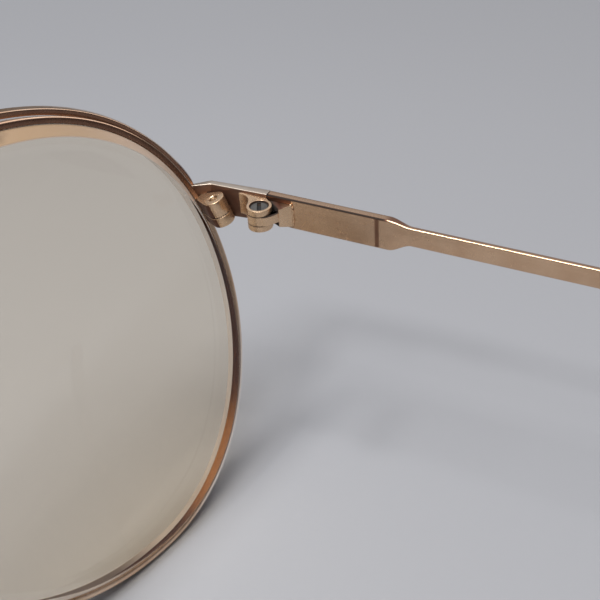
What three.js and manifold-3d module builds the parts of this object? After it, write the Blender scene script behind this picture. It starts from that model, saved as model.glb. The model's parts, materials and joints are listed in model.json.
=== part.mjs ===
import * as THREE from 'three';
import { mergeVertices } from 'three/addons/utils/BufferGeometryUtils.js';
import Module from 'manifold-3d';

// Gold wire aviator eyeglasses, standing open on a table. Millimetres and degrees, +Z up,
// lenses facing -Y, temples running towards +Y. Every size of the right side (at -X) is measured
// from the middle of its hinge axis: x inwards to the nose, y backwards, z up.
// The left side is the mirror image.

// Front of the frame
const HINGE_HALF_SPAN = 61.5;
const LENS_TEMPORAL = 22.6;
const LENS_NASAL = 33;
const LENS_TEAR = 7;
const LENS_RISE = 26.4;
const LENS_DROP = 26.8;
const LENS_PEAK = 8;
const LENS_FULLNESS = 0.037;
const LENS_CURVE_RADIUS = 110;
const LENS_CENTRE = { x: 20.03, y: -13.24, z: -8.39 };
const FACE_WRAP = 9.5;
const FACE_TILT = 15.2;

// Eyewire and lens edge
const RIM_DEPTH = 2;
const RIM_WALL = 0.75;
const RIM_EDGE_ROUND = 0.3;
const GROOVE_DEPTH = 0.4;
const GROOVE_WIDTH = 1.1;
const LENS_CLEARANCE = 0.1;
const LENS_FACET = 1.22;
const LENS_FACET_RISE = 1.75;
const LENS_DISH = 1.7;
const LENS_FRONT_INSET = 0.2;
const RIM_STATIONS = 60;

// Closing block: the split barrel whose screw pulls the eyewire tight round the lens
const LOCK_ANGLE = 12.95;
const LOCK_RADIUS = 1.28;
const LOCK_REACH = 2.42;
const LOCK_INSET = 0.42;
const LOCK_WEB = 1.03;
const LOCK_UPPER = 1.98;
const LOCK_LOWER = 1.3;
const LOCK_SCREW_RADIUS = 0.42;
const LOCK_SCREW_RECESS = 0.35;
const LOCK_HEAD_RADIUS = 0.8;
const LOCK_HEAD_DEPTH = 0.5;

// End piece: the strap between eyewire and temple, mitred at its corner
const END_CORNER = 5.79;
const END_MITRE = 0.15;
const END_DIP = 0.62;
const END_FALL = 0.2;
const END_THICKNESS = 0.77;

// Temple hinge of three knuckles
const HINGE_INSET = 1.83;
const KNUCKLE_RADIUS = 1.4;
const HINGE_HEIGHT = 2.66;
const MIDDLE_KNUCKLE = 1.1;
const HINGE_SCREW_RADIUS = 0.5;
const HINGE_HEAD_RADIUS = 1;
const LEAF_LENGTH = 3.4;
const LEAF_THICKNESS = 0.3;
const HINGE_BLOCK_LENGTH = 2.9;
const HINGE_BLOCK_THICKNESS = 1.34;
const HINGE_BLOCK_SLANT = 0.5;

// Temples
const TEMPLE_THICKNESS = 1.02;
const TEMPLE_TOP = 1.68;
const TEMPLE_BOTTOM = -1.86;
const TEMPLE_EDGE = 0.12;
const ARM_THICKNESS = 0.62;
const ARM_TOP = 1.25;
const ARM_BOTTOM = -0.96;
const STEP_START = 14.4;
const STEP_LENGTH = 2.8;
const BEND_START = 88;
const BEND_RADIUS = 20;
const BEND_ANGLE = 48;
const TIP_START = 76;
const TIP_HALF_HEIGHT = 2.1;
const TIP_HALF_THICKNESS = 1.25;
const CORE_HALF_HEIGHT = 0.6;
const CORE_HALF_THICKNESS = 0.36;
const CORE_END = 9;

// Bars and nose pads
const BROW_HALF_HEIGHT = 0.36;
const BROW_HALF_DEPTH = 0.75;
const BROW_LEAVE = 84;
const BROW_LIFT = 0.2;
const BROW_RISE = 1;
const BROW_ADVANCE = 2.4;
const BRIDGE_RADIUS = 0.8;
const BRIDGE_ANGLE = 146;
const BRIDGE_ARCH = 3;
const BRIDGE_RUN = 2.2;
const BRIDGE_ADVANCE = 0.6;
const STAY_RADIUS = 0.42;
const STAY_START = 74;
const STAY_END = 93;
const PAD_CENTRE = { x: 52.4, y: -6, z: -11 };
const PAD_HALF_HEIGHT = 6.6;
const PAD_HALF_WIDTH = 3.8;
const PAD_HALF_THICKNESS = 0.95;
const PAD_SPLAY = 25;
const PAD_FLARE = 18;
const PAD_TAB = { thickness: 1.1, height: 1.9, reach: 2.8 };
const PAD_BOX_WALL = 0.5;
const PAD_PIN_DEPTH = 2;
const PAD_SCREW_RADIUS = 0.4;
const PAD_ARM_RADIUS = 0.5;
const PAD_ARM_ANGLE = 172;
const PAD_ARM_OUT = 0.15;
const PAD_ARM_BACK = 2.6;
const PAD_ARM_BOW = 2.2;

// Clearances: soldered faces, running fits and the seam between temple and end piece
const SOLDER_GAP = 0.04;
const RUNNING_GAP = 0.06;
const SEAM_GAP = 0.1;

const wasm = await Module();
wasm.setup();
const rad = THREE.MathUtils.degToRad;
const vec = (x, y, z) => new THREE.Vector3(x, y, z);
const at = (point, ...moves) => moves.reduce((sum, [axis, d]) => sum.addScaledVector(axis, d), point.clone());
const UP = vec(0, 0, 1);

// Triangles that fill a flat ring of points, seen with its normal towards the viewer.
function fillRing(ring) {
  const normal = vec(0, 0, 0);
  ring.forEach((p, i) => normal.add(p.clone().cross(ring[(i + 1) % ring.length])));
  normal.normalize();
  const across = ring[1].clone().sub(ring[0]);
  across.addScaledVector(normal, -across.dot(normal)).normalize();
  const along = normal.clone().cross(across);
  const flat = ring.map((p) => new THREE.Vector2(p.dot(across), p.dot(along)));
  return THREE.ShapeUtils.triangulateShape(flat, []);
}

// Closed body through a row of rings that hold the same number of points.
function loft(rings) {
  const n = rings[0].length;
  const last = (rings.length - 1) * n;
  const index = [];
  for (let i = 0; i < last; i += n) {
    for (let j = 0; j < n; j += 1) {
      const k = (j + 1) % n;
      index.push(i + j, i + k, i + n + j, i + k, i + n + k, i + n + j);
    }
  }
  fillRing(rings[0]).forEach(([a, b, c]) => index.push(a, c, b));
  fillRing(rings.at(-1)).forEach(([a, b, c]) => index.push(last + a, last + b, last + c));
  const points = rings.flat();
  let volume = 0;
  for (let i = 0; i < index.length; i += 3) {
    const [a, b, c] = [0, 1, 2].map((k) => points[index[i + k]]);
    volume += a.dot(b.clone().cross(c));
  }
  const body = new THREE.BufferGeometry().setFromPoints(points);
  body.setIndex(volume > 0 ? index : index.reverse());
  return body;
}

// Body swept along a row of points. The section gives [across, upwards] offsets at each station,
// and the reference direction says which way is upwards.
function sweep(path, section, reference) {
  return loft(path.map((point, i) => {
    const tangent = path[Math.min(i + 1, path.length - 1)].clone().sub(path[Math.max(i - 1, 0)]).normalize();
    const across = tangent.clone().cross(reference).normalize();
    const upwards = across.clone().cross(tangent);
    return section(i / (path.length - 1)).map(([a, b]) => at(point, [across, a], [upwards, b]));
  }));
}

const oval = (halfAcross, halfUp, sides = 12) => Array.from({ length: sides }, (_, i) => {
  const angle = (2 * Math.PI * (i + 0.5)) / sides;
  return [halfAcross * Math.cos(angle), halfUp * Math.sin(angle)];
});

// Flat bar with its four long edges broken.
function bar(left, right, low, high, edge) {
  return [
    [right - edge, low], [right, low + edge], [right, high - edge], [right - edge, high],
    [left + edge, high], [left, high - edge], [left, low + edge], [left + edge, low],
  ];
}

// Upright prism on a plan outline, between two heights.
function prism(shape, low, high) {
  const options = { depth: high - low, bevelEnabled: false, curveSegments: 12 };
  return new THREE.ExtrudeGeometry(shape, options).translate(0, 0, low);
}

// Body of revolution about z from [radius, height] points that start and end on the axis.
function turned(profile, sides = 18) {
  const points = profile.map(([r, z]) => new THREE.Vector2(r, z));
  return new THREE.LatheGeometry(points, sides).rotateX(Math.PI / 2);
}

const cylinder = (radius, low, high) => turned([[0, low], [radius, low], [radius, high], [0, high]]);

function solid(geometry) {
  const bare = geometry.clone();
  bare.deleteAttribute('normal');
  bare.deleteAttribute('uv');
  const merged = mergeVertices(bare, 1e-4);
  return new wasm.Manifold(new wasm.Mesh({
    numProp: 3,
    vertProperties: new Float32Array(merged.attributes.position.array),
    triVerts: new Uint32Array(merged.index.array),
  }));
}

function geometryOf(manifold) {
  const mesh = manifold.getMesh();
  const body = new THREE.BufferGeometry();
  body.setAttribute('position', new THREE.BufferAttribute(new Float32Array(mesh.vertProperties), 3));
  body.setIndex(new THREE.BufferAttribute(new Uint32Array(mesh.triVerts), 1));
  return body;
}

// What is left of a body after the cutters, keeping its largest piece.
function cut(body, ...cutters) {
  const left = cutters.reduce((rest, cutter) => rest.subtract(solid(cutter)), solid(body));
  return geometryOf(left.decompose().sort((a, b) => b.volume() - a.volume())[0]);
}

const join = (...bodies) => geometryOf(bodies.map(solid).reduce((sum, body) => sum.add(body)));

const mirrored = (body) => {
  const twin = mergeVertices(body.clone().scale(-1, 1, 1));
  twin.setIndex(Array.from(twin.index.array).reverse());
  return twin;
};

// Axes of the right lens: u towards the temple, v up, n backwards to the eye.
const wrap = rad(FACE_WRAP);
const tilt = rad(FACE_TILT);
const lensU = vec(-Math.cos(wrap), Math.sin(wrap), 0);
const level = vec(Math.sin(wrap), Math.cos(wrap), 0);
const lensV = at(vec(0, 0, 0), [UP, Math.cos(tilt)], [level, -Math.sin(tilt)]);
const lensN = at(vec(0, 0, 0), [level, Math.cos(tilt)], [UP, Math.sin(tilt)]);
const hingeAt = vec(-HINGE_HALF_SPAN, 0, 0);
const lensCentre = hingeAt.clone().add(LENS_CENTRE);
const curveMiddle = (LENS_TEMPORAL - LENS_NASAL) / 2;

// Outer edge of the eyewire in the lens plane: a half ellipse on the temple side, fuller at its
// upper corner, and on the nose side a half that is long above and drawn in below. The highest
// point lies on the nose side of the middle.
function outline(angle) {
  const c = Math.cos(angle);
  const s = Math.sin(angle);
  const peak = s > 0 ? LENS_PEAK : 0;
  const height = s > 0 ? LENS_RISE : LENS_DROP;
  const full = c > 0 && s > 0 ? 1 + LENS_FULLNESS * Math.sin(2 * angle) ** 2 : 1;
  const temporal = (LENS_TEMPORAL + peak) * c * full;
  const nasal = -(LENS_NASAL + LENS_TEAR * s - peak) * Math.abs(c) ** 0.92;
  return new THREE.Vector2((c >= 0 ? temporal : nasal) - peak, height * s * full);
}

function outwards(angle) {
  const step = outline(angle + 1e-3).sub(outline(angle - 1e-3));
  return new THREE.Vector2(step.y, -step.x).normalize();
}

// Point of the lens surface at (u, v), moved back by depth. Depth 0 is the eyewire's rear edge.
function lensPoint(u, v, depth) {
  const sag = ((u - curveMiddle) ** 2 + v ** 2) / (2 * LENS_CURVE_RADIUS);
  return at(lensCentre, [lensU, u], [lensV, v], [lensN, sag + depth]);
}

// Point at an angle round the eyewire, moved outwards and back from its outer rear edge.
function rimPoint(angle, out, depth) {
  const edge = outline(angle).addScaledVector(outwards(angle), out);
  return lensPoint(edge.x, edge.y, depth);
}

const lockAngle = rad(LOCK_ANGLE);
const rimStep = (2 * Math.PI) / RIM_STATIONS;
const rimAngles = Array.from({ length: RIM_STATIONS }, (_, i) => lockAngle + i * rimStep);
const splitHalf = SOLDER_GAP / LENS_RISE;
const splitAngles = [lockAngle + splitHalf, ...rimAngles.slice(1), lockAngle + 2 * Math.PI - splitHalf];

// Angle at which the temple side of the eyewire passes a height, found by halving.
function angleAtHeight(z) {
  let [low, high] = [rad(-60), rad(80)];
  for (let i = 0; i < 24; i += 1) {
    const middle = (low + high) / 2;
    [low, high] = rimPoint(middle, 0, -RIM_DEPTH / 2).z < z ? [middle, high] : [low, middle];
  }
  return low;
}

// Grooved eyewire, open at the closing block.
function rim() {
  const mid = -RIM_DEPTH / 2;
  const e = RIM_EDGE_ROUND;
  const profile = [
    [-e, 0], [-0.3 * e, -0.3 * e], [0, -e],
    [0, e - RIM_DEPTH], [-0.3 * e, 0.3 * e - RIM_DEPTH], [-e, -RIM_DEPTH],
    [-RIM_WALL, -RIM_DEPTH], [-RIM_WALL, mid - GROOVE_WIDTH / 2], [GROOVE_DEPTH - RIM_WALL, mid],
    [-RIM_WALL, mid + GROOVE_WIDTH / 2], [-RIM_WALL, 0],
  ];
  return loft(splitAngles.map((angle) => profile.map(([out, depth]) => rimPoint(angle, out, depth))));
}

// Filled copy of the eyewire with the solder gap added, which trims what is soldered to it.
function rimEnvelope() {
  const g = SOLDER_GAP;
  const profile = [[g, g], [g, -RIM_DEPTH - g], [-RIM_WALL - g, -RIM_DEPTH - g], [-RIM_WALL - g, g]];
  const ring = (angle) => profile.map(([out, depth]) => rimPoint(angle, out, depth));
  return loft([...rimAngles, rimAngles[0] + 2 * Math.PI - 1e-4].map(ring));
}

// Meniscus lens with a bevel that sits in the groove, and a polished facet where its thick edge
// stands out behind the eyewire.
function lens() {
  const mid = -RIM_DEPTH / 2;
  const shoulder = RIM_WALL + LENS_CLEARANCE;
  const apex = RIM_WALL - GROOVE_DEPTH + LENS_CLEARANCE;
  const half = GROOVE_WIDTH / 2 - LENS_CLEARANCE;
  const front = LENS_FRONT_INSET - RIM_DEPTH;
  const inner = shoulder + LENS_FACET;
  const ring = (inset, share, depth) => rimAngles.map((angle) => {
    const edge = outline(angle).addScaledVector(outwards(angle), -inset);
    return lensPoint(curveMiddle + (edge.x - curveMiddle) * share, edge.y * share, depth);
  });
  const rear = (share) => ring(inner, share, LENS_FACET_RISE - LENS_DISH * (1 - share ** 2));
  return loft([
    ring(shoulder, 0.03, front), ring(shoulder, 0.5, front), ring(shoulder, 1, front),
    ring(shoulder, 1, mid - half), ring(apex, 1, mid), ring(shoulder, 1, mid + half),
    ring(shoulder, 1, 0), rear(1), rear(0.7), rear(0.35), rear(0.03),
  ]);
}

// Flat strap from the eyewire round a mitred corner to the seam with the temple. It is thinner and
// a little lower at the corner than at the seam. Its inner face may be moved inwards by a gap.
const endDip = TEMPLE_BOTTOM - END_DIP;
const endTop = TEMPLE_TOP - END_FALL;

function strap(gap) {
  const inner = gap - HINGE_INSET;
  const corner = LENS_CENTRE.y + END_CORNER;
  const station = (yInner, yOuter, low, high, outer) => [
    [inner, yInner, low], [outer, yOuter, low], [outer, yOuter, high], [inner, yInner, high],
  ].map((p) => vec(...p).add(hingeAt));
  const [face, back] = [gap - 0.58 * RIM_DEPTH, -0.97 * RIM_DEPTH];
  const rimEnd = [[endDip, face], [endDip, back], [endTop, back], [endTop, face]]
    .map(([z, depth]) => rimPoint(angleAtHeight(z), -RIM_WALL / 2, depth));
  const cornerOuter = -HINGE_INSET - END_THICKNESS;
  const bend = station(corner + END_MITRE + gap, corner - END_MITRE, endDip, endTop, cornerOuter);
  const seamOuter = -HINGE_INSET - TEMPLE_THICKNESS;
  const seam = station(-SEAM_GAP / 2, -SEAM_GAP / 2, TEMPLE_BOTTOM, TEMPLE_TOP, seamOuter);
  return loft([rimEnd, bend, seam]);
}

const endPiece = () => cut(strap(0), rimEnvelope());

// Frame of the closing block: z along the eyewire, x back from it, y outwards from the lens.
function lockFrame() {
  const along = rimPoint(lockAngle + 1e-3, 0, 0).sub(rimPoint(lockAngle - 1e-3, 0, 0)).normalize();
  const back = at(lensN, [along, -lensN.dot(along)]).normalize();
  const side = along.clone().cross(back);
  return new THREE.Matrix4().makeBasis(back, side, along).setPosition(rimPoint(lockAngle, -LOCK_INSET, 0));
}

// Half of the closing block: a web on the eyewire that widens into the barrel, drilled for the screw
// and flat where it stands against the strap.
function lockHalf(low, high, drill) {
  const flush = LOCK_INSET - RIM_WALL;
  const plan = new THREE.Shape();
  plan.moveTo(-RIM_DEPTH / 4, flush + LOCK_WEB);
  plan.lineTo(-RIM_DEPTH / 4, flush);
  plan.lineTo(0, flush);
  plan.absarc(LOCK_REACH, 0, LOCK_RADIUS, rad(-114), rad(104), false);
  plan.lineTo(0, flush + LOCK_WEB);
  const drilled = cut(prism(plan, low, high), drill.translate(LOCK_REACH, 0, 0));
  return cut(drilled.applyMatrix4(lockFrame()), rimEnvelope(), strap(SOLDER_GAP));
}

const lockBore = LOCK_SCREW_RADIUS + RUNNING_GAP;

const lockUpper = () => lockHalf(SOLDER_GAP, LOCK_UPPER, cylinder(lockBore, -1, LOCK_UPPER + 1));

// The lower half takes in the head of the screw.
function lockLower() {
  const sink = LOCK_HEAD_RADIUS + RUNNING_GAP;
  const floor = LOCK_HEAD_DEPTH - LOCK_LOWER;
  const drill = [[0, floor - 2], [sink, floor - 2], [sink, floor], [lockBore, floor], [lockBore, 1], [0, 1]];
  return lockHalf(-LOCK_LOWER, -SOLDER_GAP, turned(drill));
}

// Slotted screw along z, its head at the low end.
function slotted(profile, headRadius, headZ, slotDepth, turn) {
  const slot = new THREE.BoxGeometry(4 * headRadius, headRadius * 0.28, 2 * slotDepth);
  return cut(turned(profile), slot.rotateZ(turn).translate(0, 0, headZ));
}

function lockScrew() {
  const r = LOCK_SCREW_RADIUS;
  const top = LOCK_UPPER - LOCK_SCREW_RECESS;
  const seat = LOCK_HEAD_DEPTH - LOCK_LOWER - SOLDER_GAP;
  const head = LOCK_HEAD_RADIUS;
  const low = -LOCK_LOWER + SOLDER_GAP;
  const profile = [
    [0, low], [head - 0.12, low], [head, low + 0.12], [head, seat], [r, seat],
    [r, top - 0.3], [0.7 * r, top - 0.1], [0, top],
  ];
  const screw = slotted(profile, head, low, 0.2, 0.6);
  return screw.translate(LOCK_REACH, 0, 0).applyMatrix4(lockFrame());
}

// Heights of the three knuckles, with a running gap above and below the middle one.
const hingeTop = HINGE_HEIGHT / 2;
const middleTop = MIDDLE_KNUCKLE / 2;
const leafBack = -HINGE_INSET + SOLDER_GAP;

// Leaf on the end piece whose hollow foot runs into the barrel, with room cut for the middle knuckle.
function frontHinge() {
  const leafFace = leafBack + LEAF_THICKNESS;
  const plan = new THREE.Shape();
  const touch = rad(-80);
  plan.moveTo(leafBack, -SEAM_GAP);
  plan.lineTo(leafBack, -LEAF_LENGTH);
  plan.lineTo(leafFace, -LEAF_LENGTH);
  plan.quadraticCurveTo(
    leafFace, -1.25 * KNUCKLE_RADIUS, KNUCKLE_RADIUS * Math.cos(touch), KNUCKLE_RADIUS * Math.sin(touch),
  );
  plan.absarc(0, 0, KNUCKLE_RADIUS, touch, rad(118), false);
  const room = middleTop + RUNNING_GAP;
  const barrel = prism(plan, -hingeTop, hingeTop);
  const body = cut(barrel, cylinder(KNUCKLE_RADIUS + RUNNING_GAP, -room, room));
  const bore = HINGE_SCREW_RADIUS + RUNNING_GAP;
  const sink = HINGE_HEAD_RADIUS + RUNNING_GAP;
  const drill = turned([
    [0, -hingeTop - 1], [bore, -hingeTop - 1], [bore, hingeTop - sink + bore],
    [sink, hingeTop], [sink, hingeTop + 1], [0, hingeTop + 1],
  ]);
  return cut(body, drill).translate(...hingeAt.toArray());
}

function hingeScrew() {
  const r = HINGE_SCREW_RADIUS;
  const top = hingeTop - 0.06;
  const low = -hingeTop + 0.04;
  const profile = [[0, low], [r, low], [r, top - HINGE_HEAD_RADIUS + r], [HINGE_HEAD_RADIUS, top], [0, top]];
  return slotted(profile, HINGE_HEAD_RADIUS, top, 0.22, rad(28)).translate(...hingeAt.toArray());
}

// Middle knuckle, its arm, and the wedge block soldered to the temple's inner face.
function templeHinge() {
  const start = 0.25;
  const end = start + HINGE_BLOCK_LENGTH;
  const nose = leafBack + HINGE_BLOCK_THICKNESS;
  const noseY = start + 1.9;
  const wedge = [
    [leafBack, start], [nose - 0.17, noseY - 0.23], [nose, noseY], [leafBack + 0.17, end], [leafBack, end],
  ];
  const slant = HINGE_BLOCK_SLANT / HINGE_BLOCK_THICKNESS;
  const block = loft([
    wedge.map(([x, y]) => vec(x, y, TEMPLE_BOTTOM + 0.1 + slant * (x - leafBack))),
    wedge.map(([x, y]) => vec(x, y, TEMPLE_TOP - 0.65)),
  ]);
  const arm = new THREE.Shape();
  arm.absarc(0, 0, KNUCKLE_RADIUS, rad(135), rad(405), false);
  arm.lineTo(nose - 0.02, noseY);
  arm.lineTo(nose - 0.75, noseY);
  const body = join(prism(arm, -middleTop, middleTop), block);
  const drill = cylinder(HINGE_SCREW_RADIUS + RUNNING_GAP, -hingeTop, hingeTop);
  return cut(body, drill).translate(...hingeAt.toArray());
}

// Lowest point of the eyewire: the temple tips come down to the same table.
const tableZ = Math.min(...rimAngles.map((angle) => rimPoint(angle, 0, -RIM_DEPTH + RIM_EDGE_ROUND).z));
const armMiddle = (ARM_TOP + ARM_BOTTOM) / 2;
const bend = rad(BEND_ANGLE);
const bendArc = BEND_RADIUS * bend;
const armX = -HINGE_INSET - ARM_THICKNESS / 2;

// Point of the temple's middle line at a distance from the hinge: straight, then the ear bend.
function templePoint(s) {
  const turn = THREE.MathUtils.clamp((s - BEND_START) / BEND_RADIUS, 0, bend);
  const beyond = Math.max(s - BEND_START - bendArc, 0);
  const y = Math.min(s, BEND_START) + BEND_RADIUS * Math.sin(turn) + beyond * Math.cos(turn);
  const z = armMiddle - BEND_RADIUS * (1 - Math.cos(turn)) - beyond * Math.sin(turn);
  return hingeAt.clone().add(vec(armX, y, z));
}

// The rounded end of the tip lies on the table, which sets the length of the temple.
const tipRadius = TIP_HALF_HEIGHT;
const fall = armMiddle - tableZ - tipRadius - BEND_RADIUS * (1 - Math.cos(bend));
const templeLength = BEND_START + bendArc + fall / Math.sin(bend);
const steps = (from, to, n) => Array.from({ length: n + 1 }, (_, i) => from + ((to - from) * i) / n);

// Body swept along the temple's middle line through stations at distances from the hinge.
function sweepAt(stations, section) {
  const last = stations.length - 1;
  return sweep(stations.map(templePoint), (share) => section(stations[Math.round(share * last)]), UP);
}

// Temple: a wide flat front, an eased step down to the slim arm, and a core inside the tip.
function temple() {
  const ends = [SEAM_GAP / 2, STEP_START];
  const stations = [
    ...ends, ...steps(STEP_START, STEP_START + STEP_LENGTH, 6).slice(1),
    TIP_START - SEAM_GAP / 2, TIP_START - SEAM_GAP / 2 + 1e-3, ...steps(BEND_START, BEND_START + bendArc, 8),
    templeLength - CORE_END,
  ];
  const section = (s) => {
    if (s > TIP_START - SEAM_GAP / 2) {
      return bar(-CORE_HALF_THICKNESS, CORE_HALF_THICKNESS, -CORE_HALF_HEIGHT, CORE_HALF_HEIGHT, 0.1);
    }
    const ease = THREE.MathUtils.smoothstep(s, STEP_START, STEP_START + STEP_LENGTH);
    const mix = (wide, slim) => THREE.MathUtils.lerp(wide, slim, ease);
    const face = ARM_THICKNESS / 2;
    const back = face - mix(TEMPLE_THICKNESS, ARM_THICKNESS);
    const low = mix(TEMPLE_BOTTOM, ARM_BOTTOM) - armMiddle;
    const high = mix(TEMPLE_TOP, ARM_TOP) - armMiddle;
    return bar(back, face, low, high, TEMPLE_EDGE);
  };
  return sweepAt(stations, section);
}

// Moulded tip over the core: slim where it meets the arm, fuller behind the ear, rounded at its end.
function templeTip() {
  const from = TIP_START + SEAM_GAP / 2;
  const body = [...steps(from, BEND_START, 3), ...steps(BEND_START, BEND_START + bendArc, 8).slice(1)];
  const tail = steps(BEND_START + bendArc, templeLength, 3).slice(1);
  const cap = [0.45, 0.75, 0.94, 1].map((share) => templeLength + tipRadius * share);
  const stations = [...body, ...tail, ...cap];
  const section = (s) => {
    const grow = THREE.MathUtils.smoothstep(s, from, BEND_START + bendArc);
    const round = Math.sqrt(Math.max(1 - (Math.max(s - templeLength, 0) / tipRadius) ** 2, 0.02));
    const half = THREE.MathUtils.lerp(0.68, 1, grow) * round;
    return oval(TIP_HALF_THICKNESS * half, TIP_HALF_HEIGHT * half, 12);
  };
  const ear = steps(BEND_START, BEND_START + bendArc, 8);
  const boreStations = [from - 1, ...ear, templeLength - CORE_END + SEAM_GAP];
  const thick = CORE_HALF_THICKNESS + RUNNING_GAP;
  const high = CORE_HALF_HEIGHT + RUNNING_GAP;
  const bore = sweepAt(boreStations, () => bar(-thick, thick, -high, high, 0.05));
  return cut(sweepAt(stations, section), bore);
}

// Brow bar: it lies on the upper eyewire from the end piece on and rises off it to cross the nose.
function browPath() {
  const contact = BROW_HALF_HEIGHT + SOLDER_GAP;
  const mid = -RIM_DEPTH / 2;
  const start = angleAtHeight(endTop);
  const onRim = steps(0, 1, 7).map((share) => {
    const angle = THREE.MathUtils.lerp(start, rad(BROW_LEAVE), share);
    return rimPoint(angle, contact + SOLDER_GAP + BROW_LIFT * share ** 4, mid);
  });
  const leave = onRim.at(-1);
  const middle = vec(0, leave.y - BROW_ADVANCE, leave.z + BROW_RISE);
  const half = [...onRim, middle];
  const other = half.slice(0, -1).reverse().map((p) => vec(-p.x, p.y, p.z));
  return new THREE.CatmullRomCurve3([...half, ...other]);
}

function browBar() {
  const path = browPath().getPoints(40);
  const section = (share) => {
    const end = Math.min(share, 1 - share);
    const taper = THREE.MathUtils.smoothstep(end, -0.02, 0.04) * 0.4 + 0.6;
    const [deep, high] = [BROW_HALF_DEPTH * taper, BROW_HALF_HEIGHT * taper];
    return bar(-deep, deep, -high, high, 0.4 * high);
  };
  const body = sweep(path, section, UP);
  const trims = [rimEnvelope(), strap(SOLDER_GAP).translate(0, 0, SOLDER_GAP)];
  return cut(body, ...trims, ...trims.map(mirrored));
}

// Lower bridge: a round wire arched over the nose, soldered to both eyewires.
function bridge() {
  const root = rimPoint(rad(BRIDGE_ANGLE), -RIM_WALL / 2, -RIM_DEPTH / 2);
  const near = at(rimPoint(rad(BRIDGE_ANGLE), BRIDGE_RUN, -RIM_DEPTH / 2), [UP, 0.4 * BRIDGE_ARCH]);
  const middle = vec(0, near.y - BRIDGE_ADVANCE, near.z + 0.6 * BRIDGE_ARCH);
  const half = [root, near];
  const other = half.map((p) => vec(-p.x, p.y, p.z)).reverse();
  const curve = new THREE.CatmullRomCurve3([...half, middle, ...other]);
  const trim = rimEnvelope();
  const body = sweep(curve.getPoints(20), () => oval(BRIDGE_RADIUS, BRIDGE_RADIUS, 10), UP);
  return cut(body, trim, mirrored(trim));
}

// Stay: a short wire that lies along the top of the eyewire and rises to the brow bar.
function browStay() {
  const r = STAY_RADIUS;
  const lie = (degrees) => rimPoint(rad(degrees), 0.1, r + 2 * SOLDER_GAP);
  const rise = rimPoint(rad(STAY_END + 5), BROW_HALF_HEIGHT + 0.5, 0.1);
  const curve = new THREE.CatmullRomCurve3([...steps(STAY_START, STAY_END, 3).map(lie), rise]);
  const body = sweep(curve.getPoints(12), () => oval(r, r, 8), UP);
  const g = SOLDER_GAP;
  const [deep, high] = [BROW_HALF_DEPTH + g, BROW_HALF_HEIGHT + g];
  const clear = sweep(browPath().getPoints(40), () => bar(-deep, deep, -high, high, 0.4 * high), UP);
  return cut(body, rimEnvelope(), clear);
}

// Frame of the nose pad: x towards the nose, z up the pad, y along its pivot screw.
function padFrame() {
  const facing = vec(Math.cos(rad(PAD_SPLAY)), Math.sin(rad(PAD_SPLAY)), 0);
  const side = vec(-facing.y, facing.x, 0);
  const normal = at(vec(0, 0, 0), [facing, Math.cos(rad(PAD_FLARE))], [UP, -Math.sin(rad(PAD_FLARE))]);
  const upwards = normal.clone().cross(side);
  return new THREE.Matrix4().makeBasis(normal, side, upwards).setPosition(hingeAt.clone().add(PAD_CENTRE));
}

const block = (x0, x1, y0, y1, z0, z1) => new THREE.BoxGeometry(x1 - x0, y1 - y0, z1 - z0)
  .translate((x0 + x1) / 2, (y0 + y1) / 2, (z0 + z1) / 2);
const onPin = (body) => body.rotateX(-Math.PI / 2).translate(-PAD_PIN_DEPTH, 0, 0);
const pinBore = () => onPin(cylinder(PAD_SCREW_RADIUS + RUNNING_GAP, -3, 3));
const boxInner = PAD_TAB.thickness / 2 + RUNNING_GAP;
const boxOuter = boxInner + PAD_BOX_WALL;
const boxBack = -PAD_TAB.reach - 0.45;

// Soft oval pad with the tab that swings on the pivot screw.
function nosePad() {
  const rows = steps(-90, 90, 8).map((degrees) => [Math.cos(rad(degrees)) ** 0.8, Math.sin(rad(degrees))]);
  rows[0][0] = 0;
  rows[rows.length - 1][0] = 0;
  const dome = turned(rows, 24).rotateY(Math.PI / 2);
  dome.scale(PAD_HALF_THICKNESS, PAD_HALF_WIDTH, PAD_HALF_HEIGHT);
  const [thick, high] = [PAD_TAB.thickness / 2, PAD_TAB.height / 2];
  const tab = block(-PAD_TAB.reach, 0, -thick, thick, -high, high);
  return cut(join(dome, tab), pinBore()).applyMatrix4(padFrame());
}

function padBox() {
  const half = PAD_TAB.height / 2 + 0.15;
  const mouth = -PAD_HALF_THICKNESS - 0.4;
  const shell = block(boxBack - PAD_BOX_WALL, mouth, -boxOuter, boxOuter, -half, half);
  const room = block(boxBack, 1, -boxInner, boxInner, -half - 1, half + 1);
  return cut(shell, room, pinBore()).applyMatrix4(padFrame());
}

function padScrew() {
  const head = 1.7 * PAD_SCREW_RADIUS;
  const r = PAD_SCREW_RADIUS;
  const seat = -boxOuter - SOLDER_GAP;
  const profile = [
    [0, seat - 0.4], [head - 0.12, seat - 0.4], [head, seat - 0.28], [head, seat], [r, seat],
    [r, boxOuter + 0.1], [0.6 * r, boxOuter + 0.25], [0, boxOuter + 0.25],
  ];
  return onPin(slotted(profile, head, seat - 0.4, 0.16, 0.4)).applyMatrix4(padFrame());
}

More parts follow.
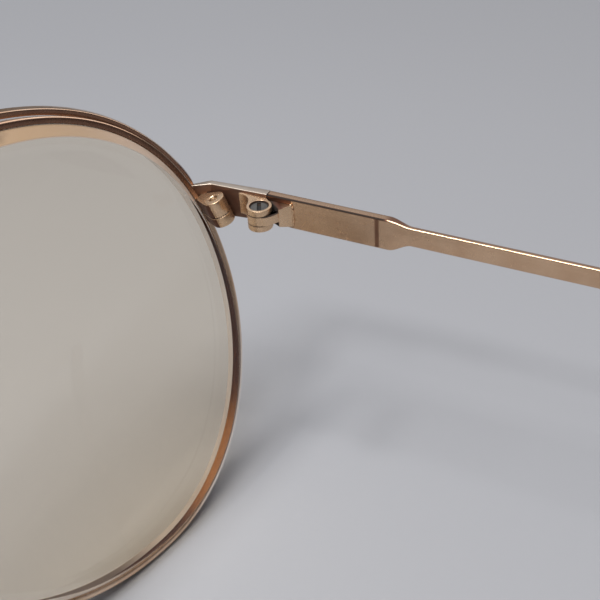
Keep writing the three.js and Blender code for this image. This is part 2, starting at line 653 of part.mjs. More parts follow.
// Bent wire from the rear of the eyewire to the back of the pad box.
function padArm() {
  const frame = padFrame();
  const local = (x, y, z) => vec(x, y, z).applyMatrix4(frame);
  const root = rimPoint(rad(PAD_ARM_ANGLE), PAD_ARM_OUT, SOLDER_GAP);
  const back = at(root, [lensN, PAD_ARM_BACK]);
  const seat = boxBack - PAD_BOX_WALL - SOLDER_GAP;
  const curve = new THREE.CatmullRomCurve3([
    root, at(root, [lensN, 1]), at(back, [lensU, 0.8]),
    local(seat - PAD_ARM_BOW, -1.2, 0.6), local(seat - 0.8, 0, 0), local(seat, 0, 0),
  ]);
  const body = sweep(curve.getPoints(20), () => oval(PAD_ARM_RADIUS, PAD_ARM_RADIUS, 8), UP);
  const half = PAD_TAB.height / 2 + 0.15 + SOLDER_GAP;
  const wide = boxOuter + SOLDER_GAP;
  const clear = block(seat, 0, -wide, wide, -half, half).applyMatrix4(frame);
  return cut(body, rimEnvelope(), clear);
}

const gold = { color: 0xb6946c, roughness: 0.26, metalness: 1 };
const steel = { color: 0x8d8a86, roughness: 0.3, metalness: 1 };
const glass = { color: 0xcfc4b2, roughness: 0.04, metalness: 0, transparent: true, opacity: 0.4 };
const silicone = { color: 0xe4ddd0, roughness: 0.25, metalness: 0, transparent: true, opacity: 0.6 };
const acetate = { color: 0x4a2c1a, roughness: 0.22, metalness: 0 };

const pairs = [
  ['rim', rim, gold], ['lens', lens, glass], ['end_piece', endPiece, gold],
  ['rim_lock_upper', lockUpper, gold], ['rim_lock_lower', lockLower, gold],
  ['rim_lock_screw', lockScrew, steel], ['front_hinge', frontHinge, gold], ['hinge_screw', hingeScrew, steel],
  ['temple_hinge', templeHinge, gold], ['temple', temple, gold], ['temple_tip', templeTip, acetate],
  ['brow_stay', browStay, gold], ['pad_arm', padArm, gold], ['pad_box', padBox, gold],
  ['pad_screw', padScrew, steel], ['nose_pad', nosePad, silicone],
];

const glasses = new THREE.Group();
const place = (name, body, finish) => {
  const mesh = new THREE.Mesh(body, new THREE.MeshStandardMaterial(finish));
  mesh.name = name;
  glasses.add(mesh);
};
for (const [name, make, finish] of pairs) {
  const right = make();
  place(`${name}_right`, right, finish);
  place(`${name}_left`, mirrored(right), finish);
}
place('bridge', bridge(), gold);
place('brow_bar', browBar(), gold);

// The frame of the part: middle of its length and width, on the table.
const bounds = new THREE.Box3().setFromObject(glasses);
glasses.position.set(0, -(bounds.min.y + bounds.max.y) / 2, -bounds.min.z);

export default glasses;
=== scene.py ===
import json

import bpy
import numpy as np
from mathutils import Matrix


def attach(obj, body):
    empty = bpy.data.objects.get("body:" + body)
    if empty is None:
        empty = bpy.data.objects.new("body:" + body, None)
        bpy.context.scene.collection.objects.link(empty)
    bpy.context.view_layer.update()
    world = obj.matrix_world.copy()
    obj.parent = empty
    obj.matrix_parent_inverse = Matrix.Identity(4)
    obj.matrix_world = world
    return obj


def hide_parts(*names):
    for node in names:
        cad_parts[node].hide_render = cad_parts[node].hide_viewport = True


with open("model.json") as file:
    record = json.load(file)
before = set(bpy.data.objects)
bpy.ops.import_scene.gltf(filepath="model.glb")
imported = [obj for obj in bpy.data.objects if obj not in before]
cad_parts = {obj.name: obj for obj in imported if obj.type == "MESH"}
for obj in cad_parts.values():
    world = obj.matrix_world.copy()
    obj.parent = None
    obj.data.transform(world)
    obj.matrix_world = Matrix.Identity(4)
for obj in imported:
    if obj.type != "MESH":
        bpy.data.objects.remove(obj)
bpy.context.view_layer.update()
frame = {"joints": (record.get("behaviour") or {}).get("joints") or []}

# Gold wire aviator eyeglasses, standing open on a pale table. Shapes are worked out in millimetres in
# the frame of the part, for the wearer's right side, and mirrored to the left.
MM = 0.001
UP = np.array((0.0, 0.0, 1.0))
HINGE = np.array(next(j["pos_m"] for j in frame["joints"] if j["name"] == "temple_right_fold")) / MM

# Lens outline and the plane that it lies in
LENS_TEMPORAL, LENS_NASAL, LENS_TEAR = 22.6, 33, 7
LENS_RISE, LENS_DROP, LENS_PEAK, LENS_FULLNESS = 26.4, 26.8, 8, 0.037
LENS_CURVE_RADIUS = 110
LENS_CENTRE = HINGE + (20.03, -13.24, -8.39)
CURVE_MIDDLE = (LENS_TEMPORAL - LENS_NASAL) / 2
WRAP, TILT = np.radians((9.5, 15.2))
LEVEL = np.array((np.sin(WRAP), np.cos(WRAP), 0))
LENS_U = np.array((-np.cos(WRAP), np.sin(WRAP), 0))
LENS_V = UP * np.cos(TILT) - LEVEL * np.sin(TILT)
LENS_N = LEVEL * np.cos(TILT) + UP * np.sin(TILT)

# Eyewire, lens edge and closing block
RIM_DEPTH, RIM_WALL, RIM_ROUND, RIM_LIP = 2, 0.75, 0.38, 0.06
GROOVE_DEPTH, GROOVE_WIDTH = 0.4, 1.1
LENS_CLEARANCE, LENS_FACET, LENS_FACET_RISE, LENS_DISH = 0.1, 1.22, 1.75, 1.7
LENS_FRONT_INSET, LENS_BROKEN_EDGE, BAND_WIDTH = 0.2, 0.09, 0.5
LOCK_ANGLE = np.radians(12.95)
LOCK_RADIUS, LOCK_REACH, LOCK_INSET, LOCK_WEB = 1.28, 2.42, 0.42, 1.03
LOCK_UPPER, LOCK_LOWER, LOCK_SCREW, LOCK_RECESS = 1.98, 1.3, 0.42, 0.35
LOCK_HEAD, LOCK_HEAD_DEPTH = 0.8, 0.5

# End piece, hinge and temple
END_CORNER, END_MITRE, END_DIP, END_FALL, END_THICKNESS = 5.79, 0.15, 0.62, 0.2, 0.77
HINGE_INSET, KNUCKLE_RADIUS, HINGE_TOP, MIDDLE_TOP = 1.83, 1.4, 1.33, 0.55
HINGE_SCREW, HINGE_HEAD, HEAD_RECESS, SLOT_TURN = 0.5, 1, 0.2, 29
LEAF_LENGTH, LEAF_THICKNESS = 3.4, 0.3
BLOCK_START, BLOCK_LENGTH, BLOCK_NOSE, BLOCK_THICKNESS, BLOCK_SLANT = 0.25, 2.9, 1.9, 1.34, 0.5
TEMPLE_THICKNESS, TEMPLE_TOP, TEMPLE_BOTTOM = 1.02, 1.68, -1.86
ARM_THICKNESS, ARM_TOP, ARM_BOTTOM = 0.62, 1.25, -0.96
STEP_START, STEP_LENGTH, TEMPLE_SAG, BAND_AT = 14.4, 2.8, 0.26, 13.2
BEND_START, BEND_RADIUS, BEND_ANGLE = 88, 20, np.radians(48)
TIP_START, TIP_HALF_HEIGHT, TIP_HALF_THICKNESS = 76, 2.1, 1.25

# Bars over the nose and nose pads
BROW_HALF_HEIGHT, BROW_HALF_DEPTH, BROW_LEAVE, BROW_FORWARD = 0.36, 0.56, np.radians(84), 0.36
BROW_LIFT, BROW_RISE, BROW_ADVANCE = 0.42, 1, 2.4
BRIDGE_RADIUS, BRIDGE_ANGLE, BRIDGE_ARCH, BRIDGE_RUN, BRIDGE_ADVANCE = 0.8, np.radians(146), 3, 2.2, 0.6
STAY_RADIUS, STAY_START, STAY_END = 0.42, np.radians(74), np.radians(93)
PAD_CENTRE = HINGE + (52.4, -6, -11)
PAD_HALF_HEIGHT, PAD_HALF_WIDTH, PAD_HALF_THICKNESS = 6.6, 3.8, 0.95
PAD_SPLAY, PAD_FLARE = np.radians((25, 18))
PAD_TAB_THICKNESS, PAD_TAB_HEIGHT, PAD_TAB_REACH, PAD_BOX_WALL = 1.1, 1.9, 2.8, 0.5
PAD_PIN_DEPTH, PAD_SCREW = 2, 0.4
PAD_ARM_RADIUS, PAD_ARM_ANGLE, PAD_ARM_OUT = 0.5, np.radians(172), 0.15
PAD_ARM_BACK, PAD_ARM_BOW = 2.6, 2.2
SOLDER_GAP, RUNNING_GAP, SEAM_GAP = 0.04, 0.06, 0.1

# Stretches of the rim, in degrees from the temple side, where a tone starts, is full, fades and ends:
# the painted dark reflection goes up and over the lens, the painted highlight and warm light go down
DARK_REFLECTION = (4, 22, 150, 175)
PALE_HIGHLIGHT = (12, 32, 62, 84)
WARM_LIGHT = (30, 58, 62, 90)


# Shape helpers

def unit(v):
    """Vectors of the last axis divided by their lengths."""
    return v / np.linalg.norm(v, axis=-1, keepdims=True)


def lerp(a, b, share):
    """Straight mix of a and b."""
    return a + (b - a) * share


def ease(x, start, end):
    """Smooth step from 0 at start to 1 at end: 3t squared less 2t cubed."""
    t = np.clip((x - start) / (end - start), 0, 1)
    return t * t * (3 - 2 * t)


def plateau(x, start, full, fade, end):
    """Smooth rise from 0 at start to 1 at full, and smooth fall from 1 at fade to 0 at end."""
    return ease(x, start, full) * (1 - ease(x, fade, end))


def arc(radius, angle):
    """Points of a circle about the origin at the given angles."""
    return radius * np.stack([np.cos(angle), np.sin(angle)], -1)


def at_height(flat, height):
    """Flat points lifted to heights that have one value for each ring."""
    return np.concatenate([flat, np.broadcast_to(height, (*flat.shape[:-1], 1))], -1)


def skin(rings, loop=False):
    """Closed shell through rings of points, shape (rings, points, 3). Each quad joins two neighbouring
    points of two neighbouring rings. The first and last ring are filled, or joined to each other if
    loop is true. The sign of the enclosed volume says whether the faces have to be turned to point
    outwards."""
    rows, n = rings.shape[:2]
    row = np.arange(rows if loop else rows - 1)[:, None] * n
    point, after = np.arange(n), (np.arange(n) + 1) % n
    behind = (row + n) % (rows * n)
    quads = np.stack([row + point, row + after, behind + after, behind + point], -1).reshape(-1, 4)
    points = rings.reshape(-1, 3)
    faces = quads.tolist()
    if not loop:
        faces += [np.arange(n)[::-1].tolist(), (np.arange(n) + (rows - 1) * n).tolist()]
    a, b, c, d = points[quads].transpose(1, 0, 2)
    volume = np.sum(a * np.cross(b, c)) + np.sum(a * np.cross(c, d))
    if not loop:
        for ring, sign in ((rings[0], -1), (rings[-1], 1)):
            volume += sign * np.sum(ring[0] * np.cross(ring[1:-1], ring[2:]))
    return points, faces if volume > 0 else [face[::-1] for face in faces]


def rounded(corners, radii, steps=6):
    """Outline with its corners rounded, shape (points, 2): at each corner an arc about a centre on the
    bisector that touches both sides."""
    p = np.asarray(corners, float)
    before, after = unit(np.roll(p, 1, 0) - p), unit(np.roll(p, -1, 0) - p)
    half = np.arccos(np.clip(np.sum(before * after, -1), -1, 1)) / 2
    r = np.broadcast_to(radii, half.shape)
    centre = p + unit(before + after) * (r / np.sin(half))[:, None]
    touch = (r / np.tan(half))[:, None]
    first, last = p + before * touch - centre, p + after * touch - centre
    sweep_angle = (np.pi - 2 * half)[:, None, None]
    k = np.linspace(0, 1, steps)[None, :, None]
    turns = first[:, None] * np.sin((1 - k) * sweep_angle) + last[:, None] * np.sin(k * sweep_angle)
    return (centre[:, None] + turns / np.sin(sweep_angle)).reshape(-1, 2)


def slab(left, right, low, high, edge, steps=6):
    """Rounded rectangles, shape (stations, points, 2): quarter circles of radius edge about four inner
    corners."""
    left, right, low, high, edge = np.broadcast_arrays(*(np.atleast_1d(v).astype(float)
                                                         for v in (left, right, low, high, edge)))
    turn = np.linspace(0, np.pi / 2, steps)
    angle = (np.arange(4)[:, None] * np.pi / 2 + turn).ravel()
    quarter = np.repeat(np.arange(4), steps)
    x = np.where(np.isin(quarter, (0, 3)), (right - edge)[:, None], (left + edge)[:, None])
    y = np.where(quarter < 2, (high - edge)[:, None], (low + edge)[:, None])
    return np.stack([x + edge[:, None] * np.cos(angle), y + edge[:, None] * np.sin(angle)], -1)


def oval(across, upwards, points=24):
    """Ellipses with the given half axes, shape (stations, points, 2)."""
    angle = np.linspace(0, 2 * np.pi, points, endpoint=False)
    half = np.stack(np.broadcast_arrays(np.atleast_1d(across), np.atleast_1d(upwards)), -1)[:, None]
    return half * arc(1, angle)


def sweep(path, section, reference=UP):
    """Rings of a section carried along a path: offsets across (path direction times reference) and
    upwards."""
    tangent = unit(np.gradient(path, axis=0))
    across = unit(np.cross(tangent, reference))
    upwards = np.cross(across, tangent)
    return path[:, None] + across[:, None] * section[..., :1] + upwards[:, None] * section[..., 1:]


def wire(path, radius, reference=UP):
    """Round wire along a path, whose ends shrink as a half circle over the last radius of length."""
    along = np.concatenate([[0], np.cumsum(np.linalg.norm(np.diff(path, axis=0), axis=1))])
    dome = radius * (1 - np.cos(np.linspace(0.12, 1, 7) * np.pi / 2))
    middle = np.linspace(radius, along[-1] - radius, max(len(path), 12))
    stations = np.unique(np.concatenate([dome, middle, along[-1] - dome]).round(5))
    points = np.stack([np.interp(stations, along, path[:, i]) for i in range(3)], -1)
    gap = np.clip(np.minimum(stations, along[-1] - stations) / radius, 0, 1)
    size = radius * np.sqrt(1 - (1 - gap) ** 2)
    return skin(sweep(points, oval(size, size, 20), reference))


def hermite(start, end, start_tangent, end_tangent, count):
    """Cubic curve with given ends and end tangents, without its first point."""
    t = np.linspace(0, 1, count + 1)[1:, None]
    return ((2 * t**3 - 3 * t**2 + 1) * start + (t**3 - 2 * t**2 + t) * start_tangent
            + (3 * t**2 - 2 * t**3) * end + (t**3 - t**2) * end_tangent)


def smooth_path(knots, count):
    """Catmull-Rom curve: between two knots a cubic whose end tangents are half the step between their
    neighbours."""
    knots = np.asarray(knots, float)
    slope = np.gradient(knots, axis=0)
    pieces = [hermite(a, b, s, t, count) for a, b, s, t in zip(knots, knots[1:], slope, slope[1:])]
    return np.concatenate([knots[:1], *pieces])


def side_rings(plan, low, high, edge):
    """Upright side of a plan outline, with rings that round both rims by a quarter circle of radius
    edge."""
    tangent = np.roll(plan, -1, 0) - np.roll(plan, 1, 0)
    out = unit(np.stack([tangent[:, 1], -tangent[:, 0]], -1))
    turn = np.linspace(0, np.pi / 2, 5)
    inset = edge * np.concatenate([1 - np.sin(turn), 1 - np.cos(turn)])
    height = np.concatenate([low + edge * (1 - np.cos(turn)), high - edge * (1 - np.sin(turn))])
    return at_height(plan - out * inset[:, None, None], height[:, None, None])


def prism(plan, low, high, edge=0.06):
    """Upright block on a plan outline, its rims rounded."""
    return skin(side_rings(plan, low, high, edge))


def bored(plan, hole, low, high, edge=0.06, centre=(0, 0)):
    """Block with a round hole along z: its outer side, then rings of the hole through [radius, height]
    points from the top down, at the same bearings from the centre, joined into one loop."""
    bearing = unit(plan - np.array(centre))
    radius, height = np.array(hole, float).T
    wall = at_height(np.array(centre) + bearing * radius[:, None, None], height[:, None, None])
    return skin(np.concatenate([side_rings(plan, low, high, edge), wall]), loop=True)


def plain_hole(bore, low, high, broken=0.05):
    """Points of a straight hole, its two edges broken."""
    return [(bore + broken, high), (bore, high - broken), (bore, low + broken), (bore + broken, low)]


def turned(profile, points=40):
    """Body of revolution about z through [radius, height] points, filled at both ends."""
    profile = np.asarray(profile, float)
    ring = arc(1, np.linspace(0, 2 * np.pi, points, endpoint=False))
    return skin(at_height(profile[:, None, :1] * ring, profile[:, None, 1:]))


def slot_cheeks(radius, slot, low, high, turn, edge=0.05):
    """The two halves of a screw head beside its slot: circle segments between the slot's wall and the
    rim."""
    start = np.arcsin(slot / 2 / radius)
    half = arc(radius, np.linspace(start, np.pi - start, 28))
    cheeks = []
    for way in (turn, turn + np.pi):
        c, s = np.cos(way), np.sin(way)
        cheeks.append(prism(half @ np.array(((c, s), (-s, c))), low, high, edge))
    return cheeks


def placed(shell, matrix, origin):
    """Shell moved into a frame given by its three axes as rows, and an origin."""
    points, faces = shell
    turned_over = np.linalg.det(matrix) < 0
    return points @ matrix + origin, [face[::-1] for face in faces] if turned_over else faces


def at_hinge(shell):
    """Shell moved from the middle of the hinge axis to its place."""
    return placed(shell, np.eye(3), HINGE)


# Lens plane

def outline(angle):
    """Outer edge of the eyewire in the lens plane: a half ellipse on the temple side, fuller at its
    upper corner, and on the nose side a half that is long above and drawn in below, with the highest
    point towards the nose."""
    c, s = np.cos(angle), np.sin(angle)
    peak = np.where(s > 0, LENS_PEAK, 0)
    height = np.where(s > 0, LENS_RISE, LENS_DROP)
    full = np.where((c > 0) & (s > 0), 1 + LENS_FULLNESS * np.sin(2 * angle) ** 2, 1)
    temporal = (LENS_TEMPORAL + peak) * c * full
    nasal = -(LENS_NASAL + LENS_TEAR * s - peak) * np.abs(c) ** 0.92
    return np.stack([np.where(c >= 0, temporal, nasal) - peak, height * s * full], -1)


def outward(angle):
    """Outward direction of the outline, square to its tangent."""
    step = unit(outline(angle + 1e-3) - outline(angle - 1e-3))
    return np.stack([step[..., 1], -step[..., 0]], -1)


def lens_point(flat, depth):
    """Point over flat lens coordinates: along both lens axes, and back by a base curve of squared
    distance over twice its radius, plus depth. Depth 0 is the rear of the eyewire."""
    u, v = flat[..., :1], flat[..., 1:]
    sag = ((u - CURVE_MIDDLE) ** 2 + v**2) / (2 * LENS_CURVE_RADIUS)
    return LENS_CENTRE + LENS_U * u + LENS_V * v + LENS_N * (sag + np.asarray(depth)[..., None])


def rim_point(angle, out, depth):
    """Point at an angle round the eyewire, moved outwards and back from its outer rear edge."""
    angle, out, depth = np.broadcast_arrays(angle, out, depth)
    return lens_point(outline(angle) + outward(angle) * out[..., None], depth)


def angle_at_height(z):
    """Angle at which the temple side of the eyewire passes a height above the hinge."""
    angles = np.linspace(np.radians(-60), np.radians(80), 4000)
    return np.interp(z + HINGE[2], rim_point(angles, 0, -RIM_DEPTH / 2)[:, 2], angles)


# Front pieces

def eyewire_section():
    """Section of the eyewire as outward distances and depths, with a V groove, and the angles that it
    visits."""
    mid = -RIM_DEPTH / 2
    corners = [(0, 0), (0, -RIM_DEPTH), (-RIM_WALL, -RIM_DEPTH), (-RIM_WALL, mid - GROOVE_WIDTH / 2),
               (GROOVE_DEPTH - RIM_WALL, mid), (-RIM_WALL, mid + GROOVE_WIDTH / 2), (-RIM_WALL, 0)]
    radii = [RIM_ROUND, RIM_ROUND, RIM_LIP, RIM_LIP, RIM_LIP, RIM_LIP, RIM_LIP]
    gap = SOLDER_GAP / LENS_RISE
    angle = np.linspace(LOCK_ANGLE + gap, LOCK_ANGLE + 2 * np.pi - gap, 400)
    return rounded(corners, radii, 8), angle


def eyewire():
    """Grooved wire: a section with rounded outer edges, small inner lips and a V groove for the lens
    bevel, carried round the lens outline and open at the closing block."""
    profile, angle = eyewire_section()
    return [skin(rim_point(angle[:, None], profile[:, 0], profile[:, 1]))]


def eyewire_tones():
    """Painted dark reflection on the rear face of the wire over its upper part, below the rounded outer
    edge, and less than nothing, which is a painted pale highlight, on that edge below the closing block."""
    profile, angle = eyewire_section()
    out, depth = profile.T
    degrees = np.degrees(angle)[:, None]
    rear_face = (depth > -0.04) & (out < -0.16)
    outer_edge = (depth > -0.2) & (out > -0.45)
    dark_reflection = plateau(degrees, *DARK_REFLECTION) * rear_face
    wear_and_highlight = plateau(360 - degrees, *PALE_HIGHLIGHT) * outer_edge
    return {"painted_light_and_stain": (dark_reflection - wear_and_highlight).ravel()}


FROSTED = 0.4
LENS_ANGLES = np.linspace(0, 2 * np.pi, 300, endpoint=False)


def lens_rows():
    """Rings of the lens as columns: inset from the outline, share of the way from the middle, depth,
    ground and facet. Ground is 1 on the bevel, which carries painted shade, and 0.4 in the frosted band
    beside it on the front face, and facet is 1 on the polished facet, which carries a painted reflection."""
    mid = -RIM_DEPTH / 2
    shoulder = RIM_WALL + LENS_CLEARANCE
    apex = shoulder - GROOVE_DEPTH
    half = GROOVE_WIDTH / 2 - LENS_CLEARANCE
    front = LENS_FRONT_INSET - RIM_DEPTH
    inner = shoulder + LENS_FACET
    soft = LENS_BROKEN_EDGE
    shares = np.array((0.02, 0.15, 0.3, 0.45, 0.6, 0.75, 0.87, 0.94))
    rows = [(shoulder, s, front, 0, 0) for s in shares]
    band = shoulder + np.array((BAND_WIDTH + 0.06, BAND_WIDTH + 0.04, BAND_WIDTH, soft + 0.03, soft))
    rows += [(inset, 1, front, tone, 0) for inset, tone in zip(band, (0, 0.55, FROSTED, FROSTED, 1))]
    rows += [(shoulder, 1, front + soft, 1, 0), (shoulder, 1, mid - half, 1, 0)]
    rows += [(apex, 1, mid, 1, 0), (shoulder, 1, mid + half, 1, 0)]
    rows += [(shoulder, 1, 0.02, 0, 1), (inner - soft, 1, LENS_FACET_RISE - 1.4 * soft, 0, 1)]
    rows += [(inner + soft, 1, LENS_FACET_RISE - soft / 2, 0, 0)]
    rows += [(inner, s, LENS_FACET_RISE - LENS_DISH * (1 - s**2), 0, 0) for s in shares[::-1]]
    return (np.array(column, float)[:, None] for column in zip(*rows))


def lens_glass():
    """Meniscus lens from rings of the outline: front face, bevel in the groove, shoulder, polished
    facet behind the eyewire, broken edge and hollow rear face."""
    inset, share, depth, *_ = lens_rows()
    flat = outline(LENS_ANGLES[None]) - outward(LENS_ANGLES[None]) * inset[..., None]
    middle = np.array((CURVE_MIDDLE, 0))
    spread = middle + (flat - middle) * share[..., None]
    return [skin(lens_point(spread, np.broadcast_to(depth, flat.shape[:2])))]


def lens_tones():
    """Tones of the lens points: the ground edge, which carries painted shade, past 1 where painted warm
    light from the table falls on its lower side, and the facet, which carries a painted reflection,
    strongest over the upper half of the lens."""
    *_, ground, facet = lens_rows()
    height = np.sin(LENS_ANGLES)
    below = np.degrees(np.arctan2(-height, np.cos(LENS_ANGLES)))
    # Painted warm light on the lower bevel on the temple side, painted shade on the frosted band at the
    # bottom, and less painted shade on the bevel near the top
    warmer = plateau(below, *WARM_LIGHT) * (ground == 1)
    darker = 0.45 * ease(below, 76, 108) * (ground == FROSTED)
    ground = ground * (1 - 0.3 * ease(height, 0.25, 0.45)) + warmer + darker
    # Painted reflection of the gold eyewire in the facet, strongest over the upper half
    facet = facet * (0.25 + 0.45 * ease(height, 0.2, 0.5) + 0.3 * ease(height, 0.6, 0.92))
    return {"ground": ground.ravel(), "facet": facet.ravel()}


def lock_frame():
    """Axes of the closing block as rows, and its origin: back from the eyewire, sideways, and along the
    eyewire."""
    along = unit(rim_point(LOCK_ANGLE + 1e-3, 0, 0) - rim_point(LOCK_ANGLE - 1e-3, 0, 0))
    back = unit(LENS_N - along * (LENS_N @ along))
    return np.array((back, np.cross(along, back), along)), rim_point(LOCK_ANGLE, -LOCK_INSET, 0)


def lock_half(low, high, hole):
    """Half of the split barrel: a web on the eyewire whose sides run as tangents into a round, drilled
    for the closing screw."""
    barrel = arc(LOCK_RADIUS, np.radians(np.linspace(-114, 104, 60))) + (LOCK_REACH, 0)
    flush = LOCK_INSET - RIM_WALL
    share = np.linspace(0, 1, 9)[:-1, None]
    outer = np.array((-0.02, flush + LOCK_WEB))
    inner = np.array((-0.02, flush))
    plan = np.concatenate([barrel, lerp(barrel[-1], outer, share), lerp(outer, inner, share),
                           lerp(inner, barrel[0], share)])
    return [placed(bored(plan, hole, low, high, 0.07, (LOCK_REACH, 0)), *lock_frame())]


def lock_tones(shells, low, high):
    """Painted shade on the side of the web that faces the lens and where it runs into the barrel, and a
    dark seam."""
    axes, origin = lock_frame()
    back, out, along = ((np.concatenate([points for points, _ in shells]) - origin) @ axes.T).T
    side = (out < -0.25) & (back < LOCK_REACH + 0.3) & (along > low + 0.02) & (along < high - 0.045)
    seam = np.abs(along) < SOLDER_GAP + 0.02
    return {"painted_light_and_stain": np.maximum(side * 1.3, seam * 2.0)}


def lock_upper():
    """Upper half of the closing block, with the plain hole that shows the end of the screw."""
    return lock_half(SOLDER_GAP, LOCK_UPPER, plain_hole(LOCK_SCREW + 0.06, SOLDER_GAP, LOCK_UPPER, 0.07))


def lock_lower():
    """Lower half of the closing block, with the wide hole that takes in the head of the screw."""
    bore, sink, floor = LOCK_SCREW + 0.06, LOCK_HEAD + 0.06, LOCK_HEAD_DEPTH - LOCK_LOWER
    hole = [(bore, -SOLDER_GAP), (bore, floor), (sink, floor), (sink, -LOCK_LOWER + 0.05),
            (sink + 0.05, -LOCK_LOWER)]
    return lock_half(-LOCK_LOWER, -SOLDER_GAP, hole)


def lock_screw():
    """Closing screw: slotted head inside the lower half, plain shank, domed end that shows in the upper
    hole."""
    r, head = LOCK_SCREW, LOCK_HEAD
    top, low = LOCK_UPPER - LOCK_RECESS, SOLDER_GAP - LOCK_LOWER
    seat = LOCK_HEAD_DEPTH - LOCK_LOWER - SOLDER_GAP
    dome = np.linspace(0, 0.47 * np.pi, 7)
    end = [(r * np.cos(t), top - 0.32 + 0.32 * np.sin(t)) for t in dome]
    body = turned([(head - 0.05, low + 0.18), (head, low + 0.23), (head, seat), (r, seat), *end])
    cheeks = slot_cheeks(head, 0.26, low, low + 0.2, 0.6)
    axes, origin = lock_frame()
    return [placed(part, axes, origin + axes[0] * LOCK_REACH) for part in (body, *cheeks)]


STRAP_STEPS = 5


def strap_rings(corners, edge, steps=STRAP_STEPS):
    """Rounded four-sided rings, shape (rings, points, 3), from corners in the order inner low, outer
    low, outer high, inner high: quarter circles of radius edge in the plane of each corner's two
    sides."""
    p = np.asarray(corners, float)
    before, after = unit(np.roll(p, 1, 1) - p), unit(np.roll(p, -1, 1) - p)
    t = np.linspace(0, np.pi / 2, steps)
    away = edge * (1 - np.sin(t))[:, None]
    beside = edge * (1 - np.cos(t))[:, None]
    arcs = p[:, :, None] + before[:, :, None] * away + after[:, :, None] * beside
    return arcs.reshape(len(p), -1, 3)


def end_strap():
    """Flat strap from the eyewire round a mitred corner to the seam with the temple, lofted through
    rings: two near the eyewire, four that turn the corner tightly, and the rest on the way to the
    seam."""
    inner = -HINGE_INSET
    corner = LENS_CENTRE[1] - HINGE[1] + END_CORNER
    dip, top = TEMPLE_BOTTOM - END_DIP, TEMPLE_TOP - END_FALL
    heights, depths = np.array((dip, dip, top, top)), np.array((-0.58, -0.97, -0.97, -0.58)) * RIM_DEPTH
    root = rim_point(angle_at_height(heights), -RIM_WALL / 2, depths)
    across = np.array((0, -1, -1, 0))
    mitre = corner + END_MITRE * (1 + 2 * across)
    bend = np.stack([inner + across * END_THICKNESS, mitre, heights], -1) + HINGE
    end = np.array((TEMPLE_BOTTOM, TEMPLE_BOTTOM, TEMPLE_TOP, TEMPLE_TOP))
    seam = np.stack([inner + across * TEMPLE_THICKNESS, np.full(4, -SEAM_GAP / 2), end], -1) + HINGE
    first = root + (bend - root) * np.array((0, 0.06, 0.9, 0.97))[:, None, None]
    second = bend + (seam - bend) * np.array((0, 0.03, 0.1, 0.3, 0.6, 0.985, 1))[:, None, None]
    return [skin(strap_rings(np.concatenate([first, second]), 0.1))]


def strap_tones(shells):
    """Tones of the strap points: painted shade on the inner face, whose points open and close each
    ring."""
    painted_light_and_stain = np.zeros(len(shells[0][0])).reshape(-1, 4 * STRAP_STEPS)
    painted_light_and_stain[:, (0, -1)] = 1
    return {"painted_light_and_stain": painted_light_and_stain.ravel()}


def front_hinge():
    """Leaf soldered to the end piece, a foot that sweeps from it in a hollow curve, and two round
    knuckles with room for the middle one. The upper knuckle is sunk for the screw head."""
    back = -HINGE_INSET + SOLDER_GAP
    face = back + LEAF_THICKNESS
    t = np.linspace(0, 1, 16)[:, None]
    touch = np.radians(-80)
    start, pull = np.array((face, -LEAF_LENGTH)), np.array((face, -1.25 * KNUCKLE_RADIUS))
    meet = arc(KNUCKLE_RADIUS, touch)
    sweep_in = start * (1 - t) ** 2 + 2 * pull * t * (1 - t) + meet * t**2
    rear = np.stack([np.full(9, back), np.linspace(-SEAM_GAP, -LEAF_LENGTH, 9)], -1)
    plan = arc(KNUCKLE_RADIUS, np.linspace(0, 2 * np.pi, 72, endpoint=False))
    neck = np.radians(118) - 2 * np.pi
    hug = arc(KNUCKLE_RADIUS - 0.15, np.linspace(touch, neck, 24))
    cheek = np.concatenate([rear, sweep_in, hug, arc(KNUCKLE_RADIUS, np.array([neck]))])
    hollow = arc(KNUCKLE_RADIUS + RUNNING_GAP, np.linspace(touch - 0.06, -np.pi + 0.05, 24))
    foot = np.concatenate([rear, sweep_in, hollow, [(face, -SEAM_GAP)]])
    bore, sink = HINGE_SCREW + RUNNING_GAP, HINGE_HEAD + RUNNING_GAP
    seat = HINGE_TOP - HEAD_RECESS
    middle = MIDDLE_TOP + RUNNING_GAP
    funnel = [(sink + 0.06, HINGE_TOP), (sink, HINGE_TOP - 0.06), (sink, seat), (bore, seat - 0.35),
              (bore, middle)]
    upper = bored(plan, funnel, middle, HINGE_TOP, 0.05)
    lower = bored(plan, plain_hole(bore, -HINGE_TOP, -middle), -HINGE_TOP, -middle, 0.05)
    rims = side_rings(cheek, 0.012 - HINGE_TOP, HINGE_TOP - 0.012, 0.04)
    levels = ((cheek, -middle), (foot, 0.003 - middle), (foot, middle - 0.003), (cheek, middle))
    between = [at_height(flat, height)[None] for flat, height in levels]
    leaf = skin(np.concatenate([rims[:5], *between, rims[5:]]))
    return [at_hinge(part) for part in (leaf, upper, lower)]


def hinge_screw():
    """Sunk screw: shank, cone, floor of the slot, two cheeks beside it and the collar round them, below
    the rim of the knuckle."""
    r, top = HINGE_SCREW, HINGE_TOP - HEAD_RECESS
    floor = top - 0.28
    low, high = floor - 0.04, top - 0.02
    body = turned([(r - 0.06, -HINGE_TOP + 0.04), (r, -HINGE_TOP + 0.1), (r, floor - 0.2),
                   (HINGE_HEAD - 0.08, floor)])
    cheeks = slot_cheeks(HINGE_HEAD - 0.06, 0.42, low, top, np.radians(SLOT_TURN), 0.07)
    plan = arc(HINGE_HEAD - 0.01, np.linspace(0, 2 * np.pi, 60, endpoint=False))
    collar = bored(plan, plain_hole(HINGE_HEAD - 0.12, low, high, 0.02), low, high, 0.02)
    return [at_hinge(part) for part in (body, *cheeks, collar)]


